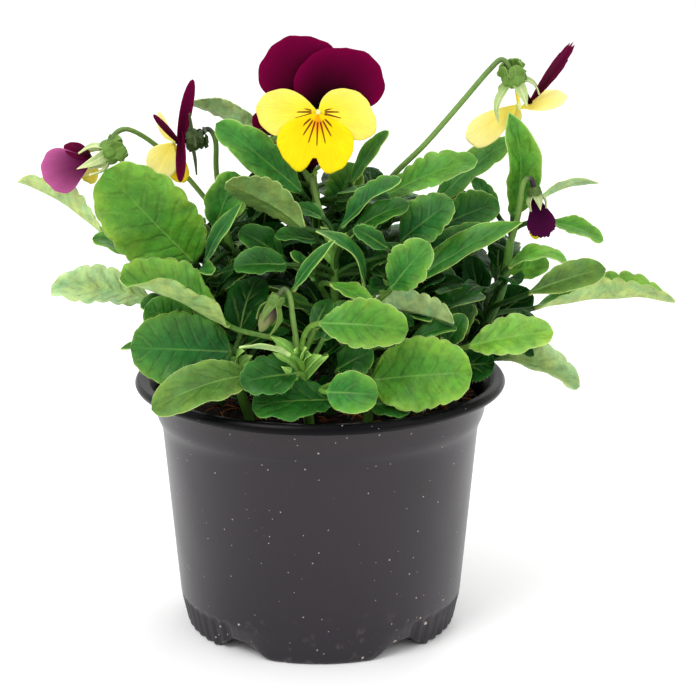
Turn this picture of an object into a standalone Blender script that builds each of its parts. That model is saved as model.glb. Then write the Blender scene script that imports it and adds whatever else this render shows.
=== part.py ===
"""A potted horned violet: a thin plastic nursery pot, soil, leafy shoots and blooms.

Lengths are in millimetres until new_mesh_object turns them into metres. The plant is laid out about
the pot's upright axis, with the ground at zero, +Z up and the viewer on the -Y side. The whole is
then moved so that the middle of its outline on the ground is the origin.

Each leafy shoot, with its leaves, stipules, flower stalk and calyx, grew as one piece and is one
node. Each bloom's petals are a node of each colour. The pot and the soil are a node each.
"""

import math
import random
from dataclasses import dataclass, replace

import bmesh
import bpy
import numpy as np
from mathutils.bvhtree import BVHTree

MM = 0.001
SPREAD_CENTRE = (8.0, 12.4)

# The pot
RIM_HEIGHT = 72.65
RIM_RADIUS = 52.5
FOOT_COUNT = 5
FOOT_LIFT = 4.0
POT_SEGMENTS = 40
FLOOR_TOP = 5.8
FLOOR_UNDER = 4.2
HOLE_RADIUS = 2.8
HOLE_RING = 32.0

# The soil and the stems that stand in it
SOIL_LEVEL = 64.4
SOIL_GAP = 0.4
STEM_FOOT = 53.0
STEM_HOLE_FLOOR = 51.0
STEM_HOLE_RADIUS = 2.3
STEM_RADIUS = 1.5
STALK_RADIUS = 0.85

# The leaves and petals
BLADE_THICKNESS = 0.75
PETIOLE_RADIUS = 0.75
PETAL_THICKNESS = 0.75
CLAW_RADIUS = 0.55
CLAW_SEAT = 0.33
TOOTH_DEPTH = 0.13
CLEAR = 0.45
OWN_CLEAR = 0.2
NARROWER = (1.0, 0.88, 0.76)
FILLER_TRIES = 60
TOWARDS_BACK = (0.0, 1.0, -0.19)
SLIDES = (0.0, -1.5, 1.5, -3.0, 3.0, -4.5, 4.5, -6.0, 6.0, -8.0, 8.0, -10.0, 10.0, -12.0, 12.0)
FILLER_SEED = 23
SLIMMINGS = (0.72, 0.75, 0.78, 0.81, 0.84, 0.88, 0.92, 0.96)

# Where a leaf is widest, along its length, and how blunt its ends are
OUTLINES = {
    "round": (0.50, 0.52),
    "oval": (0.50, 0.72),
    "spoon": (0.60, 0.80),
    "lance": (0.45, 1.00),
}


@dataclass(frozen=True)
class Leaf:
    """One leaf: its blade from base to tip, the way its upper face looks, and its build."""

    name: str
    base: tuple
    tip: tuple
    face: tuple
    width: float
    outline: str = "oval"
    teeth: int = 3
    arch: float = 0.06
    fold: float = 14.0
    wave: float = 5.0
    root: float = 0.0


@dataclass(frozen=True)
class Petal:
    """One petal, fanned out from the throat of its bloom."""

    along: tuple
    face: tuple
    length: float
    spread: float
    notch: float = 0.0
    cup: float = 0.0
    back: float = 0.0
    start: tuple = (0.0, 0.0, 0.0)


# The stem of each shoot, from the soil up
SHOOTS = {
    "front_left": ((-19, -27, 66), (-22, -30, 78), (-23, -31, 86)),
    "front_centre": ((-3, -31, 66), (-4, -35, 76), (-5, -37, 86)),
    "front_right": ((13, -25, 66), (13, -27, 80), (13, -26, 95)),
    "right_front": ((26, -18, 66), (31, -20, 74), (36, -19, 88)),
    "right": ((33, -2, 66), (42, -4, 80), (50, -6, 96), (53, -4, 112)),
    "middle_right": ((17, -8, 66), (20, -11, 84), (22, -14, 100)),
    "centre": ((3, -14, 66), (4, -14, 90), (4, -13, 114)),
    "centre_back": ((-3, 6, 66), (-1, 6, 95), (-1, 4, 124)),
    "right_back": ((14, 12, 66), (15, 10, 96), (17, 6, 125)),
    "left": ((-28, -8, 66), (-33, -10, 85), (-38, -10, 102)),
    "left_back": ((-16, 6, 66), (-22, 5, 92), (-27, 3, 117)),
    "back_left": ((-22, 24, 66), (-28, 31, 82), (-34, 38, 98)),
    "back": ((3, 31, 66), (3, 38, 84), (2, 45, 102)),
    "back_right": ((26, 22, 66), (33, 29, 82), (40, 36, 98)),
}

# The leaves that the viewer sees, shoot by shoot
LEAVES = {
    "front_left": (
        Leaf("big_round", (-24, -31, 87), (-50, -38, 90), (-0.1, -0.93, 0.35), 21, "round", 4),
        Leaf("behind_round", (-34, -23, 90), (-47, -25, 98), (-0.2, -0.8, 0.5), 13, "round", 3),
        Leaf("left_speck", (-42, -12, 84), (-55, -13, 83), (0, -0.3, 0.95), 6, "lance", 2),
        Leaf("over_rim", (-18, -38, 82), (-46, -43, 70.5), (0.05, -0.72, 0.7), 14, "round", 3,
             arch=0.14),
    ),
    "front_centre": (
        Leaf("folded", (-24, -32, 92), (-52, -40, 111), (0.45, -0.25, 0.85), 19, "oval", 4,
             fold=42, arch=0.03),
        Leaf("teal_left", (-6, -38, 83), (-21, -43, 82), (0, -0.8, 0.55), 12, "oval", 2),
        Leaf("olive_low", (4, -40, 76), (-18, -43, 75), (0, -0.55, 0.83), 11, "oval", 3),
        Leaf("pale_sliver", (-8, -42, 89), (-21, -46, 92), (0.1, 0.35, 0.93), 6, "lance", 2),
        Leaf("light_front", (0, -42, 95), (23, -45, 96), (0, -0.84, 0.52), 13, "oval", 4),
    ),
    "front_right": (
        Leaf("small_round", (2, -46, 80), (15, -49, 80), (0, -0.9, 0.42), 12, "round", 2),
        Leaf("big_front", (14, -35, 80), (40, -42, 84), (0.1, -0.85, 0.5), 20, "round", 4),
        Leaf("pale_back", (12, -23, 99.5), (36, -28, 97), (0, 0.5, 0.86), 11, "oval", 4, fold=22),
        Leaf("light_middle", (19, -30, 104), (29, -34, 117), (-0.3, -0.85, 0.35), 13, "oval", 3),
        Leaf("dark_gap", (5, -31, 82), (14, -34, 88), (0, -0.8, 0.6), 8, "oval", 2),
        Leaf("low_rim", (13, -38, 74.5), (24, -41, 73.5), (0, -0.6, 0.8), 7, "oval", 2),
    ),
    "right_front": (
        Leaf("bright_right", (40, -30, 88), (62, -35, 93), (-0.1, -0.7, 0.7), 13, "oval", 3),
        Leaf("drooping", (47, -18, 83), (71, -21, 74), (0.3, -0.35, 0.88), 12, "oval", 3,
             fold=24),
        Leaf("dark_round", (36, -25, 81), (47, -29, 83), (0, -0.85, 0.5), 11, "round", 2),
        Leaf("dark_upright", (34, -21, 86), (39, -22, 95), (-0.1, -0.9, 0.3), 7, "oval", 2),
    ),
    "right": (
        Leaf("far_right", (60, -3, 93), (100, 0, 94), (0, 0.05, 1), 15, "oval", 5, fold=38),
        Leaf("spoon_right", (57, -15, 99), (78, -16, 106), (-0.2, -0.72, 0.66), 11, "spoon", 3),
        Leaf("arching_right", (52, -9, 105), (68, -10, 107), (-0.1, -0.35, 0.93), 9, "oval", 3,
             arch=0.2),
        Leaf("right_high", (64, 0, 116), (79, -2, 111), (0.2, -0.5, 0.85), 9, "oval", 3),
        Leaf("pale_pointed", (62, 10, 121), (79, 12, 125), (0, 0.5, 0.86), 8, "lance", 3),
        Leaf("upright", (53.5, -2.5, 118), (51.5, -5.5, 147.5), (-0.05, -0.98, 0.1), 10, "oval", 3,
             arch=0.02),
        Leaf("small_dark", (50, 6, 117), (43, 8, 127), (0.4, -0.8, 0.4), 6, "oval", 2),
        Leaf("small_right", (53, -2, 102), (64, -3, 105), (0, -0.8, 0.6), 8, "oval", 2),
        Leaf("inner_right", (48, 4, 86), (60, 5, 95), (0, -0.8, 0.6), 12, "oval", 2),
        Leaf("inner_upright", (45, 2, 92), (42, 2, 106), (0.2, -0.9, 0.3), 9, "oval", 2),
    ),
    "middle_right": (
        Leaf("dark_big", (22, -13, 113), (36, -16, 125), (-0.35, -0.8, 0.45), 14, "oval", 3),
        Leaf("long_folded", (25, -17, 102), (55, -15, 119), (-0.3, -0.5, 0.82), 11, "lance", 3,
             fold=18),
        Leaf("band", (25, -8, 106), (46, -6, 116), (-0.3, -0.5, 0.82), 9, "oval", 3),
        Leaf("dark_behind", (34, 0, 115), (50, 2, 121), (0, -0.75, 0.65), 13, "oval", 3),
    ),
    "centre": (
        Leaf("olive_under", (-4, -17, 118), (-25, -20, 131), (0.35, 0.88, 0.4), 13, "oval", 4,
             fold=18),
        Leaf("upper_light", (3, -29, 105), (14, -33, 100), (0.3, -0.45, 0.85), 8, "oval", 3),
        Leaf("rolled", (6, -12, 117), (22, -15, 131), (-0.45, -0.4, 0.8), 10, "oval", 3,
             fold=28),
        Leaf("under_rolled", (9, -17, 117), (24, -20, 125), (-0.2, -0.6, 0.77), 9, "oval", 3),
        Leaf("curl", (18, -21, 113), (9, -23, 119), (0.2, -0.8, 0.5), 6, "oval", 2),
        Leaf("bowed", (12, -24, 103), (-1, -26, 119), (0.7, -0.35, 0.6), 8, "lance", 3,
             arch=0.2),
        Leaf("narrow_centre", (-7, -27, 103), (4, -29, 117), (-0.55, -0.6, 0.55), 5, "lance", 2),
        Leaf("cup", (-9, -23, 109), (-23, -26, 109), (0, -0.65, 0.75), 10, "round", 2, fold=24),
        Leaf("dark_centre", (1, -6, 103), (8, -8, 117), (0, -0.9, 0.42), 12, "oval", 3),
    ),
    "centre_back": (
        Leaf("long_dark", (-5, -3, 125), (-28, -8, 145), (-0.2, -0.75, 0.6), 12, "oval", 3),
        Leaf("pale_scalloped", (-14, 8, 138), (-36, 11, 148), (0.3, 0.55, 0.75), 10, "oval", 4),
        Leaf("narrow_upright", (9, 0, 127), (19, -2, 142), (-0.6, -0.7, 0.4), 6, "oval", 2),
        Leaf("dark_upright_c", (4, 6, 118), (10, 4, 132), (0, -0.9, 0.42), 11, "oval", 3),
        Leaf("inner_middle", (2, 9, 80), (6, 8, 96), (0.1, -0.9, 0.3), 14, "round", 2),
        Leaf("inner_wide", (6, 8, 92), (18, 7, 104), (-0.2, -0.85, 0.4), 14, "oval", 2),
        Leaf("inner_left", (-6, 12, 98), (-9, 12, 113), (0.1, -0.9, 0.3), 11, "oval", 2),
    ),
    "right_back": (
        Leaf("broad_light", (18, -4, 124), (43, -9, 135), (-0.2, -0.6, 0.77), 13, "oval", 4),
        Leaf("long_back", (32, 8, 119), (55, 10, 138), (-0.4, -0.6, 0.7), 11, "oval", 2),
        Leaf("inner_a", (22, 14, 82), (34, 13, 96), (-0.2, -0.85, 0.4), 15, "round", 2),
        Leaf("inner_b", (24, 12, 98), (42, 11, 107), (-0.2, -0.8, 0.5), 14, "oval", 2),
        Leaf("inner_c", (30, 8, 76), (46, 8, 84), (-0.1, -0.8, 0.5), 13, "oval", 2),
        Leaf("inner_d", (31, 10, 112), (45, 9, 121), (-0.2, -0.8, 0.5), 12, "oval", 2),
    ),
    "left": (
        Leaf("far_left", (-60, 0, 113), (-84, 5, 127), (0.35, 0.3, 0.88), 13, "oval", 4,
             fold=34),
        Leaf("big_oval", (-34, -15, 108), (-57, -21, 134.5), (-0.25, -0.9, 0.35), 25, "round", 5),
        Leaf("small_left", (-46, -9, 108), (-62, -12, 114), (0, -0.5, 0.87), 10, "oval", 2),
        Leaf("pale_left", (-47, -4, 95), (-75, 0, 98), (0, -0.6, 0.8), 14, "oval", 4),
        Leaf("inner_low", (-30, 0, 78), (-46, -2, 88), (0, -0.8, 0.6), 13, "oval", 2),
        Leaf("inner_high", (-31, -1, 97), (-44, -1, 104), (0, -0.8, 0.6), 11, "oval", 2),
    ),
    "left_back": (
        Leaf("oval_back", (-29, -7, 116), (-23, -9, 132), (0.2, -0.95, 0.2), 12, "oval", 2),
        Leaf("narrow_left", (-31, -14, 108), (-21, -14, 124), (-0.6, -0.65, 0.45), 6, "lance",
             2),
        Leaf("dark_left", (-10, -9, 108), (-22, -11, 116), (-0.2, -0.65, 0.75), 10, "oval", 2),
        Leaf("inner_dark", (-20, 8, 86), (-32, 8, 98), (0.1, -0.9, 0.4), 15, "round", 2),
        Leaf("inner_round", (-12, 9, 82), (-14, 8, 98), (0.1, -0.9, 0.3), 15, "round", 2),
        Leaf("inner_top", (-16, 8, 112), (-14, 8, 127), (0.1, -0.9, 0.3), 12, "oval", 2),
    ),
    "back_left": (
        Leaf("inner_g", (-24, 22, 76), (-14, 18, 88), (-0.1, -0.8, 0.5), 13, "oval", 2),
    ),
    "back": (
        Leaf("over_soil", (8, 34, 86), (24, 36, 92), (-0.2, 0.1, 0.95), 15, "round", 2),
        Leaf("over_soil_left", (-3, 33, 84), (-17, 30, 90), (0.2, 0.1, 0.95), 14, "round", 2),
        Leaf("over_soil_front", (6, 26, 80), (14, 12, 84), (0, -0.3, 0.93), 13, "oval", 2),
    ),
    "back_right": (
        Leaf("inner_e", (36, 22, 90), (38, 18, 107), (-0.1, -0.9, 0.3), 14, "oval", 2),
        Leaf("inner_f", (24, 20, 76), (14, 16, 86), (0.1, -0.8, 0.5), 12, "oval", 2),
    ),
}

# Thin flower stalks, each from its shoot to the back of its calyx
STALKS = {
    "main": ("centre_back", ((-1, 4, 122), (-2, 2, 138), (-1, 0, 149), (-0.5, -2, 151.5),
                             (-0.3, -4.5, 149.5))),
    "left": ("left_back", ((-27, 3, 116), (-36, 9, 126), (-45, 10, 135.5), (-52.5, 4, 141.5),
                           (-56.5, 0, 140.5), (-57.5, -1, 137.5))),
    "edge": ("left_back", ((-27, 3, 116), (-28.5, 1, 130), (-28.5, -1, 139), (-30.5, -2, 142.5),
                           (-33, -3, 140.5))),
    "right": ("right_back", ((17, 6, 124), (22, 2, 130.5), (29, -1, 138), (38.5, -1, 149),
                             (46.5, -1, 158.5), (50, -1.5, 161.3), (53, -2, 159.5))),
    "half_open": ("right", ((52.8, -4, 110), (54.5, -9, 120), (55.5, -10, 128.5),
                            (57.5, -10, 130), (59, -9.5, 127))),
    "bud": ("front_centre", ((-5, -37, 84), (-7, -38, 97), (-7.8, -38.3, 103.5),
                             (-9.3, -39, 106), (-11.2, -39.5, 104.5))),
    "hidden": ("centre_back", ((-1, 4, 122), (-5, 4, 131), (-11, 3, 138.5))),
    "young": ("centre", ((4, -13, 112), (0, -5, 121), (-2, -3, 128), (-2, -3, 131))),
}

# Each calyx: where it sits, the way it opens, its size, how far its sepals flare and their turn
CALYXES = {
    "main": ((-0.3, -5.0, 149.0), (0, -1, -0.1), 1.0, 1.0, 54),
    "left": ((-58.0, -1.2, 136.0), (-0.9, -0.1, -0.4), 1.1, 0.5, 54),
    "edge": ((-33.9, -3.3, 139.8), (-1, -0.2, -0.1), 1.0, 1.0, 54),
    "right": ((54.2, -2, 156.0), (0.25, 0.3, -0.9), 1.1, 0.55, 42),
    "half_open": ((58.9, -9.3, 125.6), (0.2, -0.1, -1), 0.8, 0.5, 54),
    "bud": ((-11.8, -39.8, 102.6), (-0.45, -0.1, -0.9), 0.8, 0.0, 54),
    "hidden": ((-12, 2.8, 138.8), (-0.3, -0.1, 1), 0.8, 0.7, 54),
    "young": ((-2, -3, 131.3), (0, 0, 1), 0.6, 0.5, 54),
}

# The petals, with the throat that they fan out from
THROATS = {
    "main": (-0.3, -10.2, 148.4),
    "left": (-62.0, -1.8, 134.2),
    "edge": (-38.2, -4.2, 139.6),
    "right": (55.2, -0.8, 151.5),
    "half_open": (59.2, -9.5, 122.4),
    "hidden": (-12.8, 2.6, 142.2),
    "young": (-2.0, -3.0, 133.6),
}

PETALS = {
    "main": {
        "purple": (
            Petal((-0.40, 0.10, 0.91), (0.0, -1.0, 0.1), 22.0, 66.0, back=0.06,
                  start=(0, 2.4, 0.2)),
            Petal((0.50, 0.06, 0.86), (0.0, -1.0, 0.1), 21.0, 74.0, cup=0.03,
                  start=(0, 1.7, 0.2)),
        ),
        "yellow": (
            Petal((-0.995, -0.08, 0.02), (0.05, -1.0, 0.1), 16.5, 54.0, back=0.05),
            Petal((0.985, -0.08, -0.10), (-0.05, -1.0, 0.1), 15.8, 58.0, back=0.05),
            Petal((-0.04, -0.20, -0.98), (0.0, -0.98, 0.2), 16.5, 76.0, notch=0.22,
                  back=0.05, start=(0, -0.6, 0)),
        ),
    },
    "left": {
        "purple": (
            Petal((-0.93, -0.20, -0.30), (0.1, 0.97, -0.2), 15.5, 52.0, cup=0.2),
            Petal((-0.86, 0.20, 0.42), (0.4, 0.3, -0.85), 10.0, 46.0),
        ),
        "yellow": (
            Petal((-0.80, 0.50, -0.30), (0.4, 0.8, 0.1), 12.5, 46.0, start=(0.8, 2.9, -0.8)),
            Petal((-0.55, 0.45, -0.70), (0.6, 0.7, 0.1), 12.0, 50.0, start=(0.8, 2.9, -0.8)),
        ),
    },
    "edge": {
        "purple": (
            Petal((0.20, 0.05, 0.98), (-0.97, -0.25, 0.15), 16.5, 50.0, cup=0.15),
            Petal((-0.62, -0.25, 0.74), (-0.7, -0.3, -0.65), 10.5, 45.0),
            Petal((0.02, -0.35, -0.94), (-0.95, -0.3, 0.1), 11.5, 42.0),
        ),
        "yellow": (
            Petal((-0.50, 0.30, -0.81), (-0.2, -0.95, 0.1), 12.0, 46.0, start=(-1.8, 3.2, -0.8)),
            Petal((0.05, 0.35, -0.93), (-0.5, -0.85, 0.1), 13.0, 40.0, start=(-1.8, 3.2, -0.8)),
            Petal((-0.50, 0.60, 0.62), (-0.85, -0.4, -0.2), 10.0, 46.0,
                  start=(-1.8, 3.2, -0.6)),
        ),
    },
    "right": {
        "purple": (
            Petal((0.60, 0.05, 0.79), (0.75, -0.3, -0.6), 21.0, 32.0, cup=0.15,
                  start=(2.6, 0.6, -1.9)),
        ),
        "yellow": (
            Petal((0.97, 0.15, 0.02), (0.1, -0.5, 0.85), 10.0, 46.0, start=(-0.2, 0, -3.6)),
            Petal((-0.78, 0.05, -0.62), (0.1, -0.95, 0.1), 18.0, 40.0, start=(-0.6, 0, -2.4)),
            Petal((-0.10, 0.50, -0.86), (0.1, -0.85, -0.4), 11.0, 50.0, start=(-0.4, 0.4, -3.0)),
        ),
    },
    "half_open": {
        "purple": (
            Petal((0.25, -0.10, -0.95), (-0.2, 0.95, -0.1), 11.5, 40.0, cup=0.3),
            Petal((0.30, 0.25, -0.92), (-0.7, 0.6, 0.0), 11.0, 36.0, start=(0.3, 0.8, 0)),
        ),
        "yellow": (
            Petal((-0.10, 0.10, -1.0), (0.3, 0.9, 0.1), 8.0, 30.0, start=(-1.0, 2.2, -2.0)),
        ),
    },
    "hidden": {
        "purple": (
            Petal((-0.60, 0.0, 0.80), (0.4, -0.9, 0.2), 10.0, 50.0),
            Petal((-0.10, 0.35, 0.93), (0.1, -0.9, 0.3), 10.5, 50.0, start=(0, 0.8, 0)),
        ),
    },
    "young": {
        "purple": (
            Petal((0.0, -0.05, 1.0), (0.0, -1.0, 0.0), 5.5, 34.0),
            Petal((0.15, 0.20, 0.97), (0.5, -0.85, 0.0), 5.0, 34.0, start=(0, 0.5, 0)),
        ),
    },
}

# The blooms whose petals stand off from the calyx, on a narrow claw of each colour
CLAWED = ("left", "edge", "right", "hidden")

# Leaves that fill the bush where the viewer sees little: how many from each shoot, and the
# direction and half spread, in degrees from +X, that they grow in
FILLERS = {
    "middle_right": (4, 60, 180),
    "centre": (4, 90, 180),
    "left": (4, 60, 150),
    "right": (3, 150, 100),
    "left_back": (4, 110, 100),
    "right_back": (4, 60, 100),
    "centre_back": (4, 90, 110),
    "back": (6, 90, 100),
    "back_left": (6, 130, 90),
    "back_right": (6, 45, 90),
}

# The clusters of narrow stipules: how many blades and how long
STIPULES = {
    "front_centre": (5, 9.0),
    "front_left": (2, 7.0),
    "right_front": (2, 7.0),
    "middle_right": (2, 8.0),
    "centre": (2, 7.0),
    "left": (2, 7.0),
    "back": (2, 7.0),
}

SHADES = {
    "pot": (0.045, 0.040, 0.043),
    "soil": (0.055, 0.032, 0.020),
    "shoot": (0.120, 0.330, 0.060),
    "purple": (0.120, 0.004, 0.055),
    "yellow": (0.950, 0.800, 0.030),
}


def unit(vector):
    """Return the vector, or each row of vectors, at length one."""
    vector = np.asarray(vector, float)
    return vector / np.linalg.norm(vector, axis=-1, keepdims=True)


def smooth_path(points, steps):
    """Return a rounded line through the points, with a few steps between each two."""
    points = np.asarray(points, float)
    ends = np.vstack([2 * points[0] - points[1], points, 2 * points[-1] - points[-2]])
    share = np.linspace(0, 1, steps, endpoint=False)[:, None]
    pieces = []
    for before, first, second, after in zip(ends, ends[1:], ends[2:], ends[3:]):
        pieces.append(0.5 * (2 * first + (second - before) * share
                             + (2 * before - 5 * first + 4 * second - after) * share ** 2
                             + (3 * first - before - 3 * second + after) * share ** 3))
    return np.vstack(pieces + [points[-1:]])


def skin(rings):
    """Return the points and triangles of a closed tube through rings of equal size.

    Rings of six are blades: the two faces are split along the same diagonals.
    """
    count, sides = rings.shape[:2]
    triangles = []
    for ring in range(count - 1):
        for side in range(sides):
            low, low_next = ring * sides + side, ring * sides + (side + 1) % sides
            high, high_next = low + sides, low_next + sides
            if sides == 6 and side in (3, 4):
                triangles += [(low, low_next, high), (low_next, high_next, high)]
            else:
                triangles += [(low, low_next, high_next), (low, high_next, high)]
    last = (count - 1) * sides
    fan = [(0, side, side + 1) for side in range(1, sides - 1)]
    cap = [(0, 1, 4), (0, 4, 5), (1, 2, 3), (1, 3, 4)] if sides == 6 else fan
    for first, second, third in cap:
        triangles.append((first, third, second))
        triangles.append((last + first, last + second, last + third))
    return rings.reshape(-1, 3), triangles


def tube(path, radii, sides=6):
    """Return a closed tube along a path, with a radius for each point of the path."""
    path = np.asarray(path, float)
    tangents = unit(np.gradient(path, axis=0))
    reference = np.array((0.31, 0.95, 0.05))
    across = unit(np.cross(tangents, reference))
    over = np.cross(tangents, across)
    turn = np.arange(sides) * 2 * math.pi / sides
    radii = np.broadcast_to(np.asarray(radii, float), len(path))
    around = (np.cos(turn)[None, :, None] * across[:, None]
              + np.sin(turn)[None, :, None] * over[:, None])
    return skin(path[:, None] + around * radii[:, None, None])


def outline_width(share, leaf):
    """Return the half width of a leaf at each share of its length, scallops and all."""
    widest, bluntness = OUTLINES[leaf.outline]
    power = math.log(0.5) / math.log(widest)
    body = np.sin(math.pi * np.clip(share, 0, 1) ** power) ** bluntness
    place = (share - 0.15) / 0.8 * leaf.teeth
    scallop = 1 - TOOTH_DEPTH * (1 - np.sqrt(np.abs(np.sin(math.pi * place))))
    return 0.5 * leaf.width * np.maximum(body * scallop, 0.1)


def blade_stations(leaf):
    """Return the shares of the blade's length where it is cut: base, notches, crests, tip."""
    inner = 0.15 + 0.8 * np.arange(2 * leaf.teeth) / (2 * leaf.teeth)
    return np.concatenate([[0.0], inner, [1.0]])


def leaf_rings(leaf, spare=0.0, petiole=True):
    """Return the six-point rings of a leaf: its petiole, then its blade.

    spare thickens and widens it, for the test that it clears its neighbours.
    """
    base, tip = np.array(leaf.base, float), np.array(leaf.tip, float)
    length = np.linalg.norm(tip - base)
    forward = unit(tip - base)
    side = unit(np.cross(forward, leaf.face))
    up = np.cross(side, forward)
    share = blade_stations(leaf)
    blade = (base + forward * (share * length)[:, None]
             + up * (leaf.arch * length * 4 * share * (1 - share))[:, None])
    half = outline_width(share, leaf)
    half[0] = PETIOLE_RADIUS
    swing = np.radians(leaf.wave) * np.sin(4 * math.pi * share + leaf.width)
    fold = np.radians(leaf.fold) * np.sin(math.pi * np.clip(share, 0.02, 0.98)) ** 0.5
    left_fold, right_fold = fold + swing, fold - 0.7 * swing
    rib = np.full(len(share), 0.12)
    if petiole:
        root = np.array(leaf.root, float)
        reach = np.linalg.norm(base - root)
        leaving = unit(forward + 4 * leaf.arch * up)
        climb = np.array((0, 0, 0.35)) * reach
        bend = np.linspace(0, 1, 3)[:2, None]
        stalk = ((1 - bend) ** 3 * root + 3 * (1 - bend) ** 2 * bend * (root + climb)
                 + 3 * (1 - bend) * bend ** 2 * (base - leaving * 0.35 * reach)
                 + bend ** 3 * base)
        blade = np.vstack([stalk, blade])
        pad = np.zeros(2)
        half = np.concatenate([np.full(2, PETIOLE_RADIUS), half])
        left_fold, right_fold = np.concatenate([pad, left_fold]), np.concatenate([pad, right_fold])
        rib = np.concatenate([np.full(2, 0.3), rib])
    tangents = unit(np.gradient(blade, axis=0))
    sides = unit(side - tangents * (tangents @ side)[:, None])
    ups = np.cross(sides, tangents)
    half = (half + spare)[:, None]
    thick = 0.5 * BLADE_THICKNESS + spare
    rings = np.empty((len(blade), 6, 3))
    for edge, sign, angle in ((0, -1, left_fold), (2, 1, right_fold)):
        cosine, sine = np.cos(angle)[:, None], np.sin(angle)[:, None]
        outward = sign * sides * cosine + ups * sine
        normal = -sign * sides * sine + ups * cosine
        rings[:, edge] = blade + outward * half + normal * thick
        rings[:, 5 if edge == 0 else 3] = blade + outward * half - normal * thick
    middle = (thick / np.cos(0.5 * (left_fold + right_fold)))[:, None]
    rings[:, 1] = blade + ups * middle
    rings[:, 4] = blade - ups * (middle + rib[:, None])
    return rings


def petal_rings(petal, throat, columns, rows):
    """Return the closed grid of a petal: a fan of rays from the throat, rounded at its end."""
    along = unit(petal.along)
    side = unit(np.cross(along, petal.face))
    face = np.cross(side, along)
    angles = np.radians(petal.spread) * np.linspace(-0.95, 0.95, columns + 1)
    rounding = np.cos(angles / np.radians(petal.spread) * math.pi / 2) ** 0.42
    dip = 1 - petal.notch * np.exp(-(np.degrees(angles) / 9.0) ** 2)
    reach = petal.length * rounding * dip
    rays = along * np.cos(angles)[:, None] + side * np.sin(angles)[:, None]
    share = np.linspace(0, 1, rows + 1)[:, None, None]
    hub = hub_radius(petal)
    radius = hub + (reach - hub)[None, :, None] * share
    sheet = np.asarray(throat, float) + np.asarray(petal.start, float) + rays[None] * radius
    across = radius * np.sin(angles)[None, :, None] / petal.length
    onward = radius * np.cos(angles)[None, :, None] / petal.length
    lift = petal.length * (petal.cup * across ** 2 - petal.back * onward ** 2)
    sheet = sheet + face * lift
    return sheet, face * 0.5 * PETAL_THICKNESS


def petal_solid(petal, throat):
    """Return the points and triangles of one petal with its thickness."""
    columns = 6 if petal.length > 14 else 4
    sheet, half = petal_rings(petal, throat, columns, columns // 2)
    rows, columns = sheet.shape[:2]
    points = np.vstack([(sheet + half).reshape(-1, 3), (sheet - half).reshape(-1, 3)])
    under = rows * columns
    triangles = []
    for row in range(rows - 1):
        for column in range(columns - 1):
            corner = row * columns + column
            square = (corner, corner + 1, corner + 1 + columns, corner + columns)
            low = [index + under for index in square]
            triangles += [(square[0], square[1], square[2]), (square[0], square[2], square[3])]
            triangles += [(low[0], low[2], low[1]), (low[0], low[3], low[2])]
    top = [index for index in range(columns)]
    right = [row * columns + columns - 1 for row in range(1, rows)]
    bottom = [(rows - 1) * columns + index for index in range(columns - 2, -1, -1)]
    left = [row * columns for row in range(rows - 2, 0, -1)]
    border = top + right + bottom + left
    for first, second in zip(border, border[1:] + border[:1]):
        triangles += [(first, first + under, second + under), (first, second + under, second)]
    return points, triangles


def petals_middle(bloom, petals):
    """Return the middle of the places where petals of one colour start."""
    return np.array(THROATS[bloom]) + np.mean([petal.start for petal in petals], axis=0)


def throat_solid(bloom, petals):
    """Return the short body in the middle of a bloom that its petals of one colour grow from."""
    opening = unit(CALYXES[bloom][1])
    depths = np.array([petal.start for petal in petals], float) @ opening
    hub = hub_radius(petals[0])
    reach = hub * max(0.0, np.mean([unit(petal.along) @ opening for petal in petals]))
    middle = petals_middle(bloom, petals)
    low = middle + opening * (depths.min() - depths.mean() - 0.5)
    high = middle + opening * (depths.max() - depths.mean() + 0.5 + reach)
    return tube((low, high), hub + 0.3, 6)


def hub_radius(petal):
    """Return how far from its throat a petal begins."""
    return 1.6 if petal.length > 14 and petal.spread > 52 else 1.0


def claw_solid(bloom, colour):
    """Return the claw that carries the petals of one colour, from its seat in the calyx."""
    place, opening, size = CALYXES[bloom][:3]
    opening = unit(opening)
    middle = petals_middle(bloom, PETALS[bloom][colour])
    foot = np.array(place) + opening * (1.5 * size + CLAW_SEAT)
    for other, petals in PETALS[bloom].items():
        if other != colour:
            apart = middle - petals_middle(bloom, petals)
            foot = foot + unit(apart - opening * (apart @ opening)) * 0.95
    return tube((foot, foot + opening * 0.6, middle), CLAW_RADIUS, 5)


def petal_solids(bloom, colour):
    """Return the solids of one colour of a bloom: its petals and what holds them together."""
    petals = PETALS[bloom][colour]
    solids = [petal_solid(petal, THROATS[bloom]) for petal in petals]
    if len(petals) > 1 or bloom in CLAWED:
        solids.append(throat_solid(bloom, petals))
    if bloom in CLAWED:
        solids.append(claw_solid(bloom, colour))
    return solids


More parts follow.
